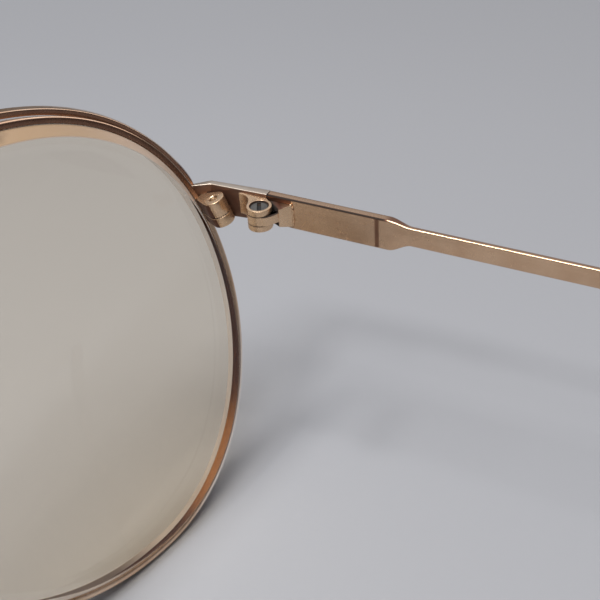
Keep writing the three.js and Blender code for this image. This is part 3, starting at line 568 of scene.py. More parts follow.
def slot_tones(shells):
    """Painted shade on the floor of the slot, low on its sides and on the collar, and less on the head."""
    low = HINGE[2] + HINGE_TOP - HEAD_RECESS - 0.15
    painted_light_and_stain = [np.where(points[:, 2] < low, 1, 0.85) for points, _ in shells]
    painted_light_and_stain[-1][:] = 1
    return {"painted_light_and_stain": np.concatenate(painted_light_and_stain)}


def knuckle_tones(shells):
    """Painted shade inside the sink of the upper knuckle and on the ends beside the middle knuckle."""
    painted_light_and_stain = [np.zeros(len(shells[0][0]))]
    for points, _ in shells[1:]:
        x, y, z = (points - HINGE).T
        sunk = (np.hypot(x, y) < HINGE_HEAD + RUNNING_GAP + 0.03) & (z > 0)
        painted_light_and_stain.append((sunk | (np.abs(z) < MIDDLE_TOP + RUNNING_GAP + 0.02)) * 2.0)
    return {"painted_light_and_stain": np.concatenate(painted_light_and_stain)}


def temple_hinge():
    """Middle knuckle whose arm runs into the wedge block on the temple. The block's underside slants up
    to its nose, and a solder bead runs along its end."""
    back = -HINGE_INSET + SOLDER_GAP
    nose = back + BLOCK_THICKNESS
    nose_y, end = BLOCK_START + BLOCK_NOSE, BLOCK_START + BLOCK_LENGTH
    wedge = rounded([(back, BLOCK_START), (nose - 0.17, nose_y - 0.23), (nose, nose_y),
                     (back + 0.17, end), (back, end)], [0.05, 0.05, 0.05, 0.06, 0.03])
    points, faces = prism(wedge, TEMPLE_BOTTOM + 0.1, TEMPLE_TOP - 0.65, 0.06)
    points[:, 2] += np.where(points[:, 2] < 0, BLOCK_SLANT * (points[:, 0] - back) / BLOCK_THICKNESS, 0)
    ring = arc(KNUCKLE_RADIUS, np.radians(np.linspace(75, 395, 70)))
    share = np.linspace(0, 1, 12)[1:, None]
    tip = np.array((nose - 0.02, nose_y))
    pull = np.array((1.0, 1.55))
    outer = ring[-1] * (1 - share) ** 2 + 2 * pull * share * (1 - share) + tip * share**2
    inner = lerp(np.array((nose - 0.45, nose_y)), ring[0], np.linspace(0, 1, 8)[:-1, None])
    hole = plain_hole(HINGE_SCREW + RUNNING_GAP, -MIDDLE_TOP, MIDDLE_TOP)
    arm = bored(np.concatenate([ring, outer, inner]), hole, -MIDDLE_TOP, MIDDLE_TOP, 0.04)
    bead_z = np.linspace(TEMPLE_BOTTOM + 0.25, TEMPLE_TOP - 0.8, 24)
    wobble = 0.03 * np.sin(bead_z * 5) + 0.02 * np.sin(bead_z * 11)
    bead_line = np.stack([np.full_like(bead_z, back + 0.01), end + 0.02 + wobble, bead_z], -1)
    bead = wire(bead_line, 0.12, LEVEL)
    drop = turned([(0.17 * np.cos(t), 0.17 * np.sin(t)) for t in np.linspace(-1.5, 1.5, 12)], 20)
    drop = placed(drop, np.eye(3), np.array((back + 0.12, end - 0.12, TEMPLE_TOP - 0.62)))
    return [at_hinge(part) for part in ((points, faces), arm, bead, drop)]


# Temples

TABLE_LEVEL = rim_point(np.linspace(0, 2 * np.pi, 720), 0, -RIM_DEPTH + 0.3)[:, 2].min() - HINGE[2]
ARM_MIDDLE = (ARM_TOP + ARM_BOTTOM) / 2
BEND_ARC = BEND_RADIUS * BEND_ANGLE
BEND_DROP = BEND_RADIUS * (1 - np.cos(BEND_ANGLE))
TIP_DROP = ARM_MIDDLE - TABLE_LEVEL - TIP_HALF_HEIGHT - BEND_DROP
TEMPLE_LENGTH = BEND_START + BEND_ARC + TIP_DROP / np.sin(BEND_ANGLE)


def arm_tones(shells):
    """Painted shade in the pocket between the upper knuckle and the block, on top of the hinge arm and on
    top of the block."""
    x, y, z = (np.concatenate([points for points, _ in shells]) - HINGE).T
    ends = np.abs(np.abs(z) - MIDDLE_TOP) < 0.015
    arm = ends | (np.abs(z) < MIDDLE_TOP) & (y > 1.3) & (0.59 * x + 0.81 * y < 1.38)
    pocket = (x < -0.6) & (y < 2)
    top = (z > TEMPLE_TOP - 0.7) & (y < 2.8)
    return {"painted_light_and_stain": np.maximum((arm | pocket) * 2.0, 1.4 * top)}


# Points round each ring of a slab, which starts on the temple's inner face or the bar's front and goes up
SLAB_POINTS, INNER_FACE = 24, (0, -1)
INNER_EDGE, TOP_FACE, REAR_FACE = slice(1, 5), slice(5, 11), slice(10, 14)
TEMPLE_STATIONS = np.concatenate([[SEAM_GAP / 2, SEAM_GAP / 2 + 0.04], np.linspace(0.2, 2.9, 4), [3.0, 3.1],
                                  np.linspace(3.6, BAND_AT - 0.5, 12),
                                  np.linspace(BAND_AT - 0.4, BAND_AT + 0.4, 13),
                                  np.linspace(BAND_AT + 0.5, STEP_START + STEP_LENGTH, 44),
                                  np.linspace(STEP_START + STEP_LENGTH, TIP_START + 1, 30)[1:]])


def temple_point(s):
    """Middle line of the temple at a distance from the hinge: straight, then an arc down, then straight
    again."""
    turn = np.clip((s - BEND_START) / BEND_RADIUS, 0, BEND_ANGLE)
    beyond = np.maximum(s - BEND_START - BEND_ARC, 0)
    y = np.minimum(s, BEND_START) + BEND_RADIUS * np.sin(turn) + beyond * np.cos(turn)
    z = ARM_MIDDLE - BEND_RADIUS * (1 - np.cos(turn)) - beyond * np.sin(turn)
    return HINGE + np.stack([np.full_like(s, -HINGE_INSET - ARM_THICKNESS / 2), y, z], -1)


def temple_tones():
    """Tones of the temple points, all painted shade: a dark line along its upper inner edge and a greyer
    top as far as the step, and a dark band across the inner face before the step."""
    s = TEMPLE_STATIONS[:, None]
    slim = ease(s, STEP_START - 0.6, STEP_START + 0.4)
    after_step = 1 - ease(s, STEP_START + 1.6, STEP_START + 2.6)
    band = plateau(s - BAND_AT, -0.38, -0.12, 0.12, 0.38)
    painted_light_and_stain = np.zeros((len(s), SLAB_POINTS))
    painted_light_and_stain[:, INNER_EDGE] = 2 - 2 * slim
    painted_light_and_stain[:, TOP_FACE] = lerp(0.35, 0.6, slim) + 0.4 * slim * after_step
    painted_light_and_stain[:, INNER_FACE] = 1 - ease(s, 2.9, 3.1) + band
    return {"painted_light_and_stain": painted_light_and_stain.ravel()}


def temple_bar():
    """Flat bar with rounded edges along the temple line: wide at the front, eased down by a step to the
    slim arm."""
    s = TEMPLE_STATIONS
    slim = ease(s, STEP_START, STEP_START + STEP_LENGTH)
    face = ARM_THICKNESS / 2
    back = face - lerp(TEMPLE_THICKNESS, ARM_THICKNESS, slim)
    low = lerp(TEMPLE_BOTTOM - TEMPLE_SAG * ease(s, 0, 3), ARM_BOTTOM, slim) - ARM_MIDDLE
    high = lerp(TEMPLE_TOP, ARM_TOP, slim) - ARM_MIDDLE
    trim = np.where(np.arange(len(s)) == 0, 0.04, 0)
    edge = lerp(0.19, 0.17, slim)
    return [skin(sweep(temple_point(s), slab(back + trim, face - trim, low + trim, high - trim, edge)))]


def ear_tip():
    """Moulded tip: ovals along the temple line, slim at the arm, fuller behind the ear, closed by a
    half ellipsoid."""
    from_s = TIP_START + SEAM_GAP / 2
    dome = TIP_HALF_HEIGHT * np.sin(np.linspace(0, 0.995, 14) * np.pi / 2)
    lip = 0.35 * (1 - np.cos(np.linspace(0, 1, 6) * np.pi / 2))
    body = np.linspace(from_s + 0.5, TEMPLE_LENGTH, 70)
    s = np.concatenate([from_s + lip, body, TEMPLE_LENGTH + dome[1:]])
    grow = ease(s, from_s, BEND_START + BEND_ARC)
    end = np.sqrt(np.maximum(1 - (np.maximum(s - TEMPLE_LENGTH, 0) / TIP_HALF_HEIGHT) ** 2, 0.0004))
    start = 1 - 0.22 * (1 - np.sqrt(np.clip(1 - (1 - np.clip((s - from_s) / 0.35, 0, 1)) ** 2, 0, 1)))
    half = lerp(0.68, 1, grow) * end * start
    return [skin(sweep(temple_point(s), oval(TIP_HALF_THICKNESS * half, TIP_HALF_HEIGHT * half, 40)))]


# Bars over the nose

def mirror_path(half):
    """Path from one side to the other: the half path and its mirror image, which share the middle
    point."""
    return np.concatenate([half, half[-2::-1] * (-1, 1, 1)])


def brow_tones(shells):
    """Painted dark reflection on the rear face of the bar, which lies halfway round each ring, and painted
    shade on its soldered ends."""
    painted_light_and_stain = np.zeros(len(shells[0][0])).reshape(-1, SLAB_POINTS)
    painted_light_and_stain[:, REAR_FACE] = 1
    painted_light_and_stain[:8] = painted_light_and_stain[-8:] = 1
    return {"painted_light_and_stain": painted_light_and_stain.ravel()}


def brow_bar():
    """Flat bar on the upper eyewire that leaves it near its highest point and crosses the nose in a
    shallow arch. Its ends taper to a rounded tongue."""
    share = np.linspace(0, 1, 70)
    angle = lerp(angle_at_height(TEMPLE_TOP - END_FALL - 0.5), BROW_LEAVE, share)
    out = BROW_HALF_HEIGHT + 2 * SOLDER_GAP + BROW_LIFT * share**4
    on_rim = rim_point(angle, out, -RIM_DEPTH / 2 - BROW_FORWARD * ease(share, 0, 0.4))
    leave = on_rim[-1]
    middle = np.array((0, leave[1] - BROW_ADVANCE, leave[2] + BROW_RISE))
    span = np.linalg.norm(middle - leave)
    arch = hermite(leave, middle, unit(on_rim[-1] - on_rim[-2]) * span, np.array((span, 0, 0)), 40)
    path = mirror_path(np.concatenate([on_rim, arch]))
    place = np.arange(len(path))
    end = np.minimum(place, place[::-1]) / 5
    taper = 0.6 + 0.4 * np.sqrt(np.clip(1 - (1 - np.clip(end, 0, 1)) ** 2, 0, 1))
    deep, high = BROW_HALF_DEPTH * taper, BROW_HALF_HEIGHT * taper
    return [skin(sweep(path, slab(-deep, deep, -high, high, 0.4 * high)))]


def bridge_wire():
    """Round wire arched over the nose from one eyewire to the other, thicker where it is soldered."""
    root = rim_point(BRIDGE_ANGLE, -RIM_WALL / 2, -RIM_DEPTH / 2)
    near = rim_point(BRIDGE_ANGLE, BRIDGE_RUN, -RIM_DEPTH / 2) + UP * 0.4 * BRIDGE_ARCH
    middle = np.array((0, near[1] - BRIDGE_ADVANCE, near[2] + 0.6 * BRIDGE_ARCH))
    path = smooth_path([root, near, middle, near * (-1, 1, 1), root * (-1, 1, 1)], 16)
    place = np.arange(len(path))
    radius = BRIDGE_RADIUS * (1 + 0.18 * np.exp(-np.minimum(place, place[::-1]) / 4))
    return [skin(sweep(path, oval(radius, radius, 28)))]


def brow_stay():
    """Short round wire that lies along the top of the eyewire and rises to the brow bar."""
    lie = rim_point(np.linspace(STAY_START, STAY_END, 12), 0.1, STAY_RADIUS + 2 * SOLDER_GAP)
    rise = rim_point(STAY_END + np.radians(5), BROW_HALF_HEIGHT + 0.5, 0.1)
    climb = hermite(lie[-1], rise, lie[-1] - lie[-3], rise - lie[-1], 8)
    return [wire(np.concatenate([lie, climb]), STAY_RADIUS)]


# Nose pads

def pad_frame():
    """Axes of the nose pad as rows, and its centre: towards the nose, along the pivot screw, and up the
    pad."""
    facing = np.array((np.cos(PAD_SPLAY), np.sin(PAD_SPLAY), 0))
    side = np.array((-facing[1], facing[0], 0))
    normal = facing * np.cos(PAD_FLARE) - UP * np.sin(PAD_FLARE)
    return np.array((normal, side, np.cross(normal, side))), PAD_CENTRE


BOX_INNER = PAD_TAB_THICKNESS / 2 + RUNNING_GAP
BOX_OUTER = BOX_INNER + PAD_BOX_WALL
BOX_BACK = -PAD_TAB_REACH - 0.45
TAB_HALF = PAD_TAB_HEIGHT / 2


def along_pin(shell):
    """Shell built along z, laid along the pivot screw of the pad and moved into place."""
    axes, centre = pad_frame()
    lying = np.array((axes[0], -axes[2], axes[1]))
    return placed(shell, lying, centre - axes[0] * PAD_PIN_DEPTH)


def silicone_pad():
    """Soft oval pad: latitude rows whose width goes with the cosine to the power 0.8, a thin mould seam
    round the edge and a flatter rear, and the bored tab that swings on the pivot screw."""
    latitude = np.linspace(-1, 1, 33) * np.pi / 2 * 0.995
    angle = np.linspace(0, 2 * np.pi, 72, endpoint=False)
    width = np.cos(latitude) ** 0.8 + 0.012 * np.exp(-((latitude / 0.06) ** 2))
    x = PAD_HALF_THICKNESS * np.sin(latitude) * np.where(latitude < 0, 0.9, 1)
    y = PAD_HALF_WIDTH * width[:, None] * np.cos(angle)
    z = PAD_HALF_HEIGHT * width[:, None] * np.sin(angle)
    bow = 0.35 * (z / PAD_HALF_HEIGHT) ** 2
    pad = skin(np.stack([x[:, None] - bow * 0.6, y, z], -1))
    tab_plan = rounded([(PAD_PIN_DEPTH - PAD_TAB_REACH, -TAB_HALF), (PAD_PIN_DEPTH - 0.4, -TAB_HALF),
                        (PAD_PIN_DEPTH - 0.4, TAB_HALF), (PAD_PIN_DEPTH - PAD_TAB_REACH, TAB_HALF)],
                       [0.6, 0.1, 0.1, 0.6], 10)
    thick = PAD_TAB_THICKNESS / 2
    tab = bored(tab_plan, plain_hole(PAD_SCREW + RUNNING_GAP, -thick, thick), -thick, thick, 0.08)
    return [placed(pad, *pad_frame()), along_pin(tab)]


def pad_channel():
    """Folded channel that holds the pad's tab: a U outline with rounded bends, as high as the tab."""
    mouth, back, half = -PAD_HALF_THICKNESS - 0.4, BOX_BACK - PAD_BOX_WALL, TAB_HALF + 0.15
    corners = [(mouth, BOX_INNER), (mouth, BOX_OUTER), (back, BOX_OUTER), (back, -BOX_OUTER),
               (mouth, -BOX_OUTER), (mouth, -BOX_INNER), (BOX_BACK, -BOX_INNER), (BOX_BACK, BOX_INNER)]
    plan = rounded(corners, [0.1, 0.1, 0.45, 0.45, 0.1, 0.1, 0.12, 0.12])
    return [placed(prism(plan, -half, half, 0.06), *pad_frame())]


def pad_pivot():
    """Small slotted screw through the channel and the tab, with a riveted end."""
    r, head, seat = PAD_SCREW, 1.7 * PAD_SCREW, -BOX_OUTER - SOLDER_GAP
    body = turned([(head - 0.05, seat - 0.24), (head, seat - 0.18), (head, seat), (r, seat),
                   (r, BOX_OUTER + 0.1), (0.85 * r, BOX_OUTER + 0.2), (0.5 * r, BOX_OUTER + 0.25)], 28)
    cheeks = slot_cheeks(head - 0.02, 0.2, seat - 0.4, seat - 0.22, 0.4, 0.04)
    return [along_pin(part) for part in (body, *cheeks)]


def pad_arm():
    """Bent round wire from the rear of the eyewire to the back of the pad channel, on a small solder
    foot."""
    axes, centre = pad_frame()
    root = rim_point(PAD_ARM_ANGLE, PAD_ARM_OUT, SOLDER_GAP)
    seat = BOX_BACK - PAD_BOX_WALL - SOLDER_GAP
    at_pad = np.array(((seat - PAD_ARM_BOW, -1.2, 0.6), (seat - 0.8, 0, 0), (seat + 0.05, 0, 0)))
    at_rim = (root, root + LENS_N, root + LENS_N * PAD_ARM_BACK + LENS_U * 0.8)
    path = smooth_path([*at_rim, *(centre + at_pad @ axes)], 10)
    place = np.arange(len(path))
    radius = PAD_ARM_RADIUS * (1 + 0.35 * np.exp(-place / 3) + 0.25 * np.exp(-place[::-1] / 3))
    return [skin(sweep(path, oval(radius, radius, 24)))]


# Finishes

class Value:
    """Output of a node. Arithmetic on it adds Math nodes to the same node tree."""

    def __init__(self, nodes, socket):
        self.nodes, self.socket = nodes, socket

    def math(self, operation, *operands):
        """Math node on the operands."""
        return self.nodes.node("Math", {"operation": operation}, dict(enumerate(operands)))

    def __add__(self, other):
        return self.math("ADD", self, other)

    def __sub__(self, other):
        return self.math("SUBTRACT", self, other)

    def __rsub__(self, other):
        return self.math("SUBTRACT", other, self)

    def __mul__(self, other):
        return self.math("MULTIPLY", self, other)

    def __pow__(self, other):
        return self.math("POWER", self, other)

    __radd__, __rmul__ = __add__, __mul__

    def above(self, other):
        """Greater of two values."""
        return self.math("MAXIMUM", self, other)

    def between(self, start, end):
        """Smooth step from 0 at start to 1 at end."""
        return self.nodes.node("MapRange", {"interpolation_type": "SMOOTHSTEP"},
                               {"Value": self, "From Min": start, "From Max": end})


class Nodes:
    """Node tree of a material or of the world."""

    def __init__(self, owner):
        owner.use_nodes = True
        self.owner, self.tree = owner, owner.node_tree
        self.tree.nodes.clear()

    def node(self, kind, settings=None, sockets=None, out=0):
        """New node of a type: its settings are set first, then values or links go into its sockets."""
        node = self.tree.nodes.new("ShaderNode" + kind)
        for name, value in (settings or {}).items():
            setattr(node, name, value)
        for name, value in (sockets or {}).items():
            if isinstance(value, Value):
                self.tree.links.new(value.socket, node.inputs[name])
            else:
                node.inputs[name].default_value = value
        return Value(self, node.outputs[out]) if node.outputs else None

    def mix(self, factor, first, second):
        """Colour between two colours."""
        first, second = (c if isinstance(c, Value) else (*c, 1) for c in (first, second))
        return self.node("Mix", {"data_type": "RGBA"}, {0: factor, 6: first, 7: second}, 2)

    def millimetres(self, stretch=(1, 1, 1)):
        """Object coordinates in millimetres, divided by a stretch along each axis."""
        place = self.node("TexCoord", out="Object")
        scale = tuple(1 / MM / s for s in stretch)
        return self.node("VectorMath", {"operation": "MULTIPLY"}, {0: place, 1: scale})

    def noise(self, place, scale, detail=3.0, roughness=0.55):
        """Soft random clouds from 0 to 1 over a place."""
        sockets = {"Vector": place, "Scale": scale, "Detail": detail, "Roughness": roughness}
        return self.node("TexNoise", None, sockets)

    def tone(self, name):
        """Value that the points of the mesh carry under a name."""
        return self.node("Attribute", {"attribute_name": name}, out="Fac")

    def bump(self, height, depth):
        """Surface that rises and falls by a depth in millimetres where height goes from 0 to 1."""
        return self.node("Bump", None, {"Height": height, "Strength": 1.0, "Distance": depth * MM})

    def surface(self, shader):
        """Finished material with a shader as its surface."""
        self.node("OutputMaterial", None, {"Surface": shader})
        return self.owner


def finish(name):
    """New empty material."""
    return Nodes(bpy.data.materials.new(name))


# Painted brown shade, deeper painted shade that also darkens a seam, and a painted pale highlight
SHADE_BROWN, SEAM_AND_SHADE_DARK, HIGHLIGHT_PALE = (0.15, 0.062, 0.038), (0.03, 0.018, 0.012), (1.0, 0.88, 0.78)


def gold_plate(name, bright, shade, shine, grain, stretch, scratch):
    """Gold plating: two tones in soft clouds, roughness that varies with a grain drawn out along the
    stretch, and a bump of fine lines and a few scratches. It is painted brown shade where the points
    carry a tone, dark and rough where they carry twice as much, which is deeper painted shade and a
    dark seam, and a painted pale highlight where they carry less than none."""
    f = finish(name)
    cloud = f.noise(f.millimetres(), 0.35, 4)
    lines = f.noise(f.millimetres(stretch), grain, 5, 0.65)
    wear_and_highlight = f.noise(f.millimetres(), 2.3, 6, 0.7).between(0.56, 0.74)
    tone = (cloud * 0.7 + lines * 0.3).between(0.3, 0.7)
    colour = f.mix(tone, shade, bright)
    roughness = shine + 0.14 * lines + 0.1 * wear_and_highlight
    painted_light_and_stain = f.tone("painted_light_and_stain")
    seam_and_shade = painted_light_and_stain.between(1.0, 2.0)
    colour = f.mix(painted_light_and_stain * (0.7 + 0.3 * cloud), colour, SHADE_BROWN)
    colour = f.mix(seam_and_shade, colour, SEAM_AND_SHADE_DARK)
    colour = f.mix(0 - painted_light_and_stain, colour, HIGHLIGHT_PALE)
    roughness = roughness + 0.1 * painted_light_and_stain + 0.5 * seam_and_shade
    height = lines * 0.7 + f.noise(f.millimetres(), 6, 2) * 0.3
    shader = f.node("BsdfPrincipled", None, {
        "Base Color": colour, "Metallic": 0.88 - 0.88 * seam_and_shade, "Roughness": roughness,
        "Normal": f.bump(height, scratch)})
    return f.surface(shader)


def screw_steel():
    """Turned steel: pale grey with a few darker stains, fine random turning marks in roughness and
    bump."""
    f = finish("screw_steel")
    marks = f.noise(f.millimetres((1, 1, 0.2)), 5, 4, 0.6)
    painted_light_and_stain = f.noise(f.millimetres(), 1.6, 4).between(0.5, 0.72)
    colour = f.mix(painted_light_and_stain, (0.42, 0.41, 0.39), (0.22, 0.2, 0.19))
    # Painted shade where the points carry a tone: full in the slot of the hinge screw, most of it on its
    # head
    painted_shade = f.tone("painted_light_and_stain")
    colour = f.mix(painted_shade, colour, (0.015, 0.013, 0.012))
    shader = f.node("BsdfPrincipled", None, {
        "Base Color": colour, "Metallic": 0.7 - 0.7 * painted_shade, "Roughness": 0.3 + 0.2 * marks + 0.4 * painted_shade,
        "Normal": f.bump(marks, 0.006)})
    return f.surface(shader)


LENS_TINT, LENS_SMEAR, LENS_SHADE = (0.985, 0.905, 0.775), (0.955, 0.885, 0.77), (0.87, 0.82, 0.74)
# The dark and warm edge colours are painted shade and painted warm light, and the facet colours are a
# painted reflection of the gold eyewire
GROUND_PALE, GROUND_SHADE, GROUND_WARM_LIGHT = (0.69, 0.57, 0.47), (0.042, 0.012, 0.004), (0.22, 0.085, 0.02)
FACET_REFLECTION_PALE, FACET_REFLECTION_BROWN = (0.67, 0.455, 0.32), (0.43, 0.28, 0.16)


def lens_tint():
    """Tinted glass: a clear beige solid with faint dust and smears in its gloss, which lets lamp light
    through. As the ground tone grows its edge is frosted, then dark with painted shade and warm with
    painted light, and its facet is pale to brown with a painted reflection as the facet tone grows."""
    f = finish("lens_tint")
    smear = f.noise(f.millimetres((3, 3, 1)), 0.12, 4, 0.6).between(0.45, 0.8)
    dust = f.noise(f.millimetres(), 4.2, 2).between(0.74, 0.8)
    colour = f.mix(smear * 0.3, LENS_TINT, LENS_SMEAR)
    glass = f.node("BsdfPrincipled", None, {
        "Base Color": colour, "Roughness": 0.015 + 0.03 * smear + 0.1 * dust, "IOR": 1.5,
        "Transmission Weight": 1.0, "Specular IOR Level": 0.3})
    ground, facet = f.tone("ground"), f.tone("facet")
    shade = f.mix(ground.between(0.45, 0.95), GROUND_PALE, GROUND_SHADE)
    shade = f.mix(ground.between(1.0, 2.0), shade, GROUND_WARM_LIGHT)
    grit = f.noise(f.millimetres(), 9, 3)
    warm = f.mix(facet.between(0.65, 1.0), FACET_REFLECTION_PALE, FACET_REFLECTION_BROWN)
    shade = f.mix(facet.between(0.0, 0.25), shade, warm)
    edge = f.node("BsdfPrincipled", None, {
        "Base Color": shade, "Roughness": 0.3 + 0.3 * grit, "Specular IOR Level": 0.12})
    solid = f.node("MixShader", None, {0: ground.above(facet * 0.85), 1: glass, 2: edge})
    passed = 0.95 - 0.95 * f.node("LayerWeight", None, {"Blend": 0.5}, "Facing") ** 2
    clear = f.node("BsdfTransparent", None, {"Color": f.mix(passed, (0, 0, 0), LENS_SHADE)})
    lamp = f.node("LightPath", out="Is Shadow Ray")
    return f.surface(f.node("MixShader", None, {0: lamp, 1: solid, 2: clear}))


def tip_acetate():
    """Dark tortoise acetate: amber and brown clouds in long swirls under a clear polish."""
    f = finish("tip_acetate")
    swirl = f.noise(f.millimetres((1, 2.5, 1)), 0.32, 5, 0.6)
    fleck = f.noise(f.millimetres((1, 3, 1)), 0.9, 3).between(0.5, 0.72)
    colour = f.mix(swirl.between(0.38, 0.66), (0.035, 0.014, 0.006), (0.16, 0.06, 0.018))
    colour = f.mix(fleck * 0.5, colour, (0.3, 0.13, 0.04))
    rough = f.noise(f.millimetres(), 1.5, 4)
    shader = f.node("BsdfPrincipled", None, {
        "Base Color": colour, "Roughness": 0.16 + 0.14 * rough, "Coat Weight": 0.6, "Coat Roughness": 0.08,
        "Normal": f.bump(rough, 0.01)})
    return f.surface(shader)


def pad_silicone():
    """Soft clear silicone, faintly yellowed, with a satin skin."""
    f = finish("pad_silicone")
    haze = f.noise(f.millimetres(), 0.5, 4)
    skin_grain = f.noise(f.millimetres(), 7, 3)
    colour = f.mix(haze, (0.86, 0.83, 0.75), (0.8, 0.74, 0.6))
    soft = f.node("BsdfPrincipled", None, {
        "Base Color": colour, "Roughness": 0.22 + 0.2 * skin_grain, "IOR": 1.42,
        "Transmission Weight": 0.65, "Normal": f.bump(skin_grain, 0.008)})
    clear = f.node("BsdfTransparent", None, {"Color": (0.8, 0.78, 0.72, 1)})
    lamp = f.node("LightPath", out="Is Shadow Ray")
    return f.surface(f.node("MixShader", None, {0: 0.5 * lamp, 1: soft, 2: clear}))


BACKDROP, TABLE_BLUE, TABLE_PALE = (0.39, 0.394, 0.418), (0.372, 0.374, 0.395), (0.386, 0.390, 0.410)


def in_sight(nodes):
    """One for rays from the camera, straight or through the lens."""
    return nodes.node("LightPath", out="Is Camera Ray") + nodes.node("LightPath", out="Is Transmission Ray")


def table_top():
    """Pale blue-grey table with a very faint paper tooth, which runs far off into the colour of the
    backdrop. Behind the glasses it carries a painted dark reflection, seen only by mirroring metal."""
    f = finish("table_top")
    tooth = f.noise(f.millimetres(), 1.2, 4)
    cloud = f.noise(f.millimetres(), 0.012, 2)
    colour = f.mix(cloud, TABLE_BLUE, TABLE_PALE)
    y = f.node("SeparateXYZ", None, {0: f.millimetres()}, 1)
    through = f.node("LightPath", out="Is Transmission Ray")
    mirrored = f.node("LightPath", out="Is Glossy Ray") * (1 - through)
    # Painted dark reflection: the table turns dark behind the glasses for mirror rays only
    colour = f.mix(mirrored * y.between(80, 140), colour, (0.05, 0.045, 0.045))
    shader = f.node("BsdfPrincipled", None, {
        "Base Color": colour, "Roughness": 0.55 + 0.2 * tooth, "Specular IOR Level": 0.3,
        "Normal": f.bump(tooth, 0.01)})
    reach = f.node("VectorMath", {"operation": "LENGTH"}, {0: f.millimetres()}, "Value")
    far = f.node("Emission", None, {"Color": (*BACKDROP, 1)})
    distant = in_sight(f) * reach.between(170, 360)
    return f.surface(f.node("MixShader", None, {0: distant, 1: shader, 2: far}))


POLISHED = gold_plate("gold_polished", (0.76, 0.57, 0.42), (0.66, 0.45, 0.30), 0.10, 1.6, (1, 1, 1), 0.002)
BRUSHED = gold_plate("gold_brushed", (0.66, 0.455, 0.30), (0.58, 0.38, 0.24), 0.16, 3.0, (1, 40, 1), 0.0006)
SATIN = gold_plate("gold_satin", (0.73, 0.51, 0.33), (0.63, 0.42, 0.25), 0.20, 2.2, (1, 1, 1), 0.0015)
STRAP = gold_plate("gold_strap", (0.62, 0.53, 0.44), (0.55, 0.45, 0.36), 0.24, 1.6, (1, 1, 1), 0.002)
STEEL = screw_steel()
GLASS = lens_tint()
ACETATE = tip_acetate()
SILICONE = pad_silicone()


# Assembly

def make(name, shells, body, node, material, mirror=False, tones=()):
    """Mesh object of closed shells in metres, smooth but for its sharp edges, which stands for a CAD
    node. Tones are named values for each of its points."""
    start = np.cumsum([0] + [len(points) for points, _ in shells])
    points = np.concatenate([points for points, _ in shells]) * MM
    faces = [[i + first for i in face] for first, (_, group) in zip(start, shells) for face in group]
    if mirror:
        points = points * (-1, 1, 1)
        faces = [face[::-1] for face in faces]
    mesh = bpy.data.meshes.new(name)
    mesh.from_pydata(points.tolist(), [], faces)
    mesh.shade_smooth()
    mesh.set_sharp_from_angle(angle=np.radians(35))
    mesh.materials.append(material)
    for tone in tones:
        mesh.attributes.new(tone, "FLOAT", "POINT").data.foreach_set("value", tones[tone])
    obj = bpy.data.objects.new(name, mesh)
    bpy.context.collection.objects.link(obj)
    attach(obj, body)
    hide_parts(node)
    return obj


PAIRS = [
    ("eyewire", eyewire(), "front", "rim", "gold", POLISHED),
    ("lens_glass", lens_glass(), "front", "lens", "lens", GLASS),
    ("end_strap", end_strap(), "front", "end_piece", "gold", STRAP),
    ("lock_block_upper", lock_upper(), "front", "rim_lock_upper", "gold", SATIN),
    ("lock_block_lower", lock_lower(), "front", "rim_lock_lower", "gold", SATIN),
    ("lock_bolt", lock_screw(), "front", "rim_lock_screw", "steel", STEEL),
    ("hinge_leaf", front_hinge(), "front", "front_hinge", "gold", SATIN),
    ("hinge_bolt", hinge_screw(), "front", "hinge_screw", "steel", STEEL),
    ("hinge_block", temple_hinge(), "temple_arm", "temple_hinge", "gold", SATIN),
    ("temple_bar", temple_bar(), "temple_arm", "temple", "gold", BRUSHED),
    ("ear_tip", ear_tip(), "temple_arm", "temple_tip", "tip", ACETATE),
    ("brow_stay_wire", brow_stay(), "front", "brow_stay", "gold", POLISHED),
    ("pad_wire", pad_arm(), "front", "pad_arm", "gold", POLISHED),
    ("pad_channel", pad_channel(), "front", "pad_box", "gold", SATIN),
    ("pad_pivot", pad_pivot(), "front", "pad_screw", "steel", STEEL),
    ("silicone_pad", silicone_pad(), "pad", "nose_pad", "pad", SILICONE),
]
SHELLS = {piece: shells for piece, shells, *_ in PAIRS}
TONES = {
    "eyewire": eyewire_tones(),
    "lens_glass": lens_tones(),
    "end_strap": strap_tones(SHELLS["end_strap"]),
    "lock_block_upper": lock_tones(SHELLS["lock_block_upper"], SOLDER_GAP, LOCK_UPPER),
    "lock_block_lower": lock_tones(SHELLS["lock_block_lower"], -LOCK_LOWER, -SOLDER_GAP),
    "hinge_leaf": knuckle_tones(SHELLS["hinge_leaf"]),
    "hinge_bolt": slot_tones(SHELLS["hinge_bolt"]),
    "hinge_block": arm_tones(SHELLS["hinge_block"]),
    "temple_bar": temple_tones(),
}
for piece, shells, carrier, part, finish_slot, material in PAIRS:
    for side in ("right", "left"):
        carried_by = carrier if carrier == "front" else f"{carrier}_{side}"
        make(f"{piece}_{side}", shells, carried_by, f"{part}_{side}", material, side == "left",
             TONES.get(piece, ()))
BROW = brow_bar()
make("brow_wire", BROW, "front", "brow_bar", POLISHED, tones=brow_tones(BROW))
make("bridge_wire", bridge_wire(), "front", "bridge", POLISHED)


# Table, light and camera

TABLE_HALF = 2.0


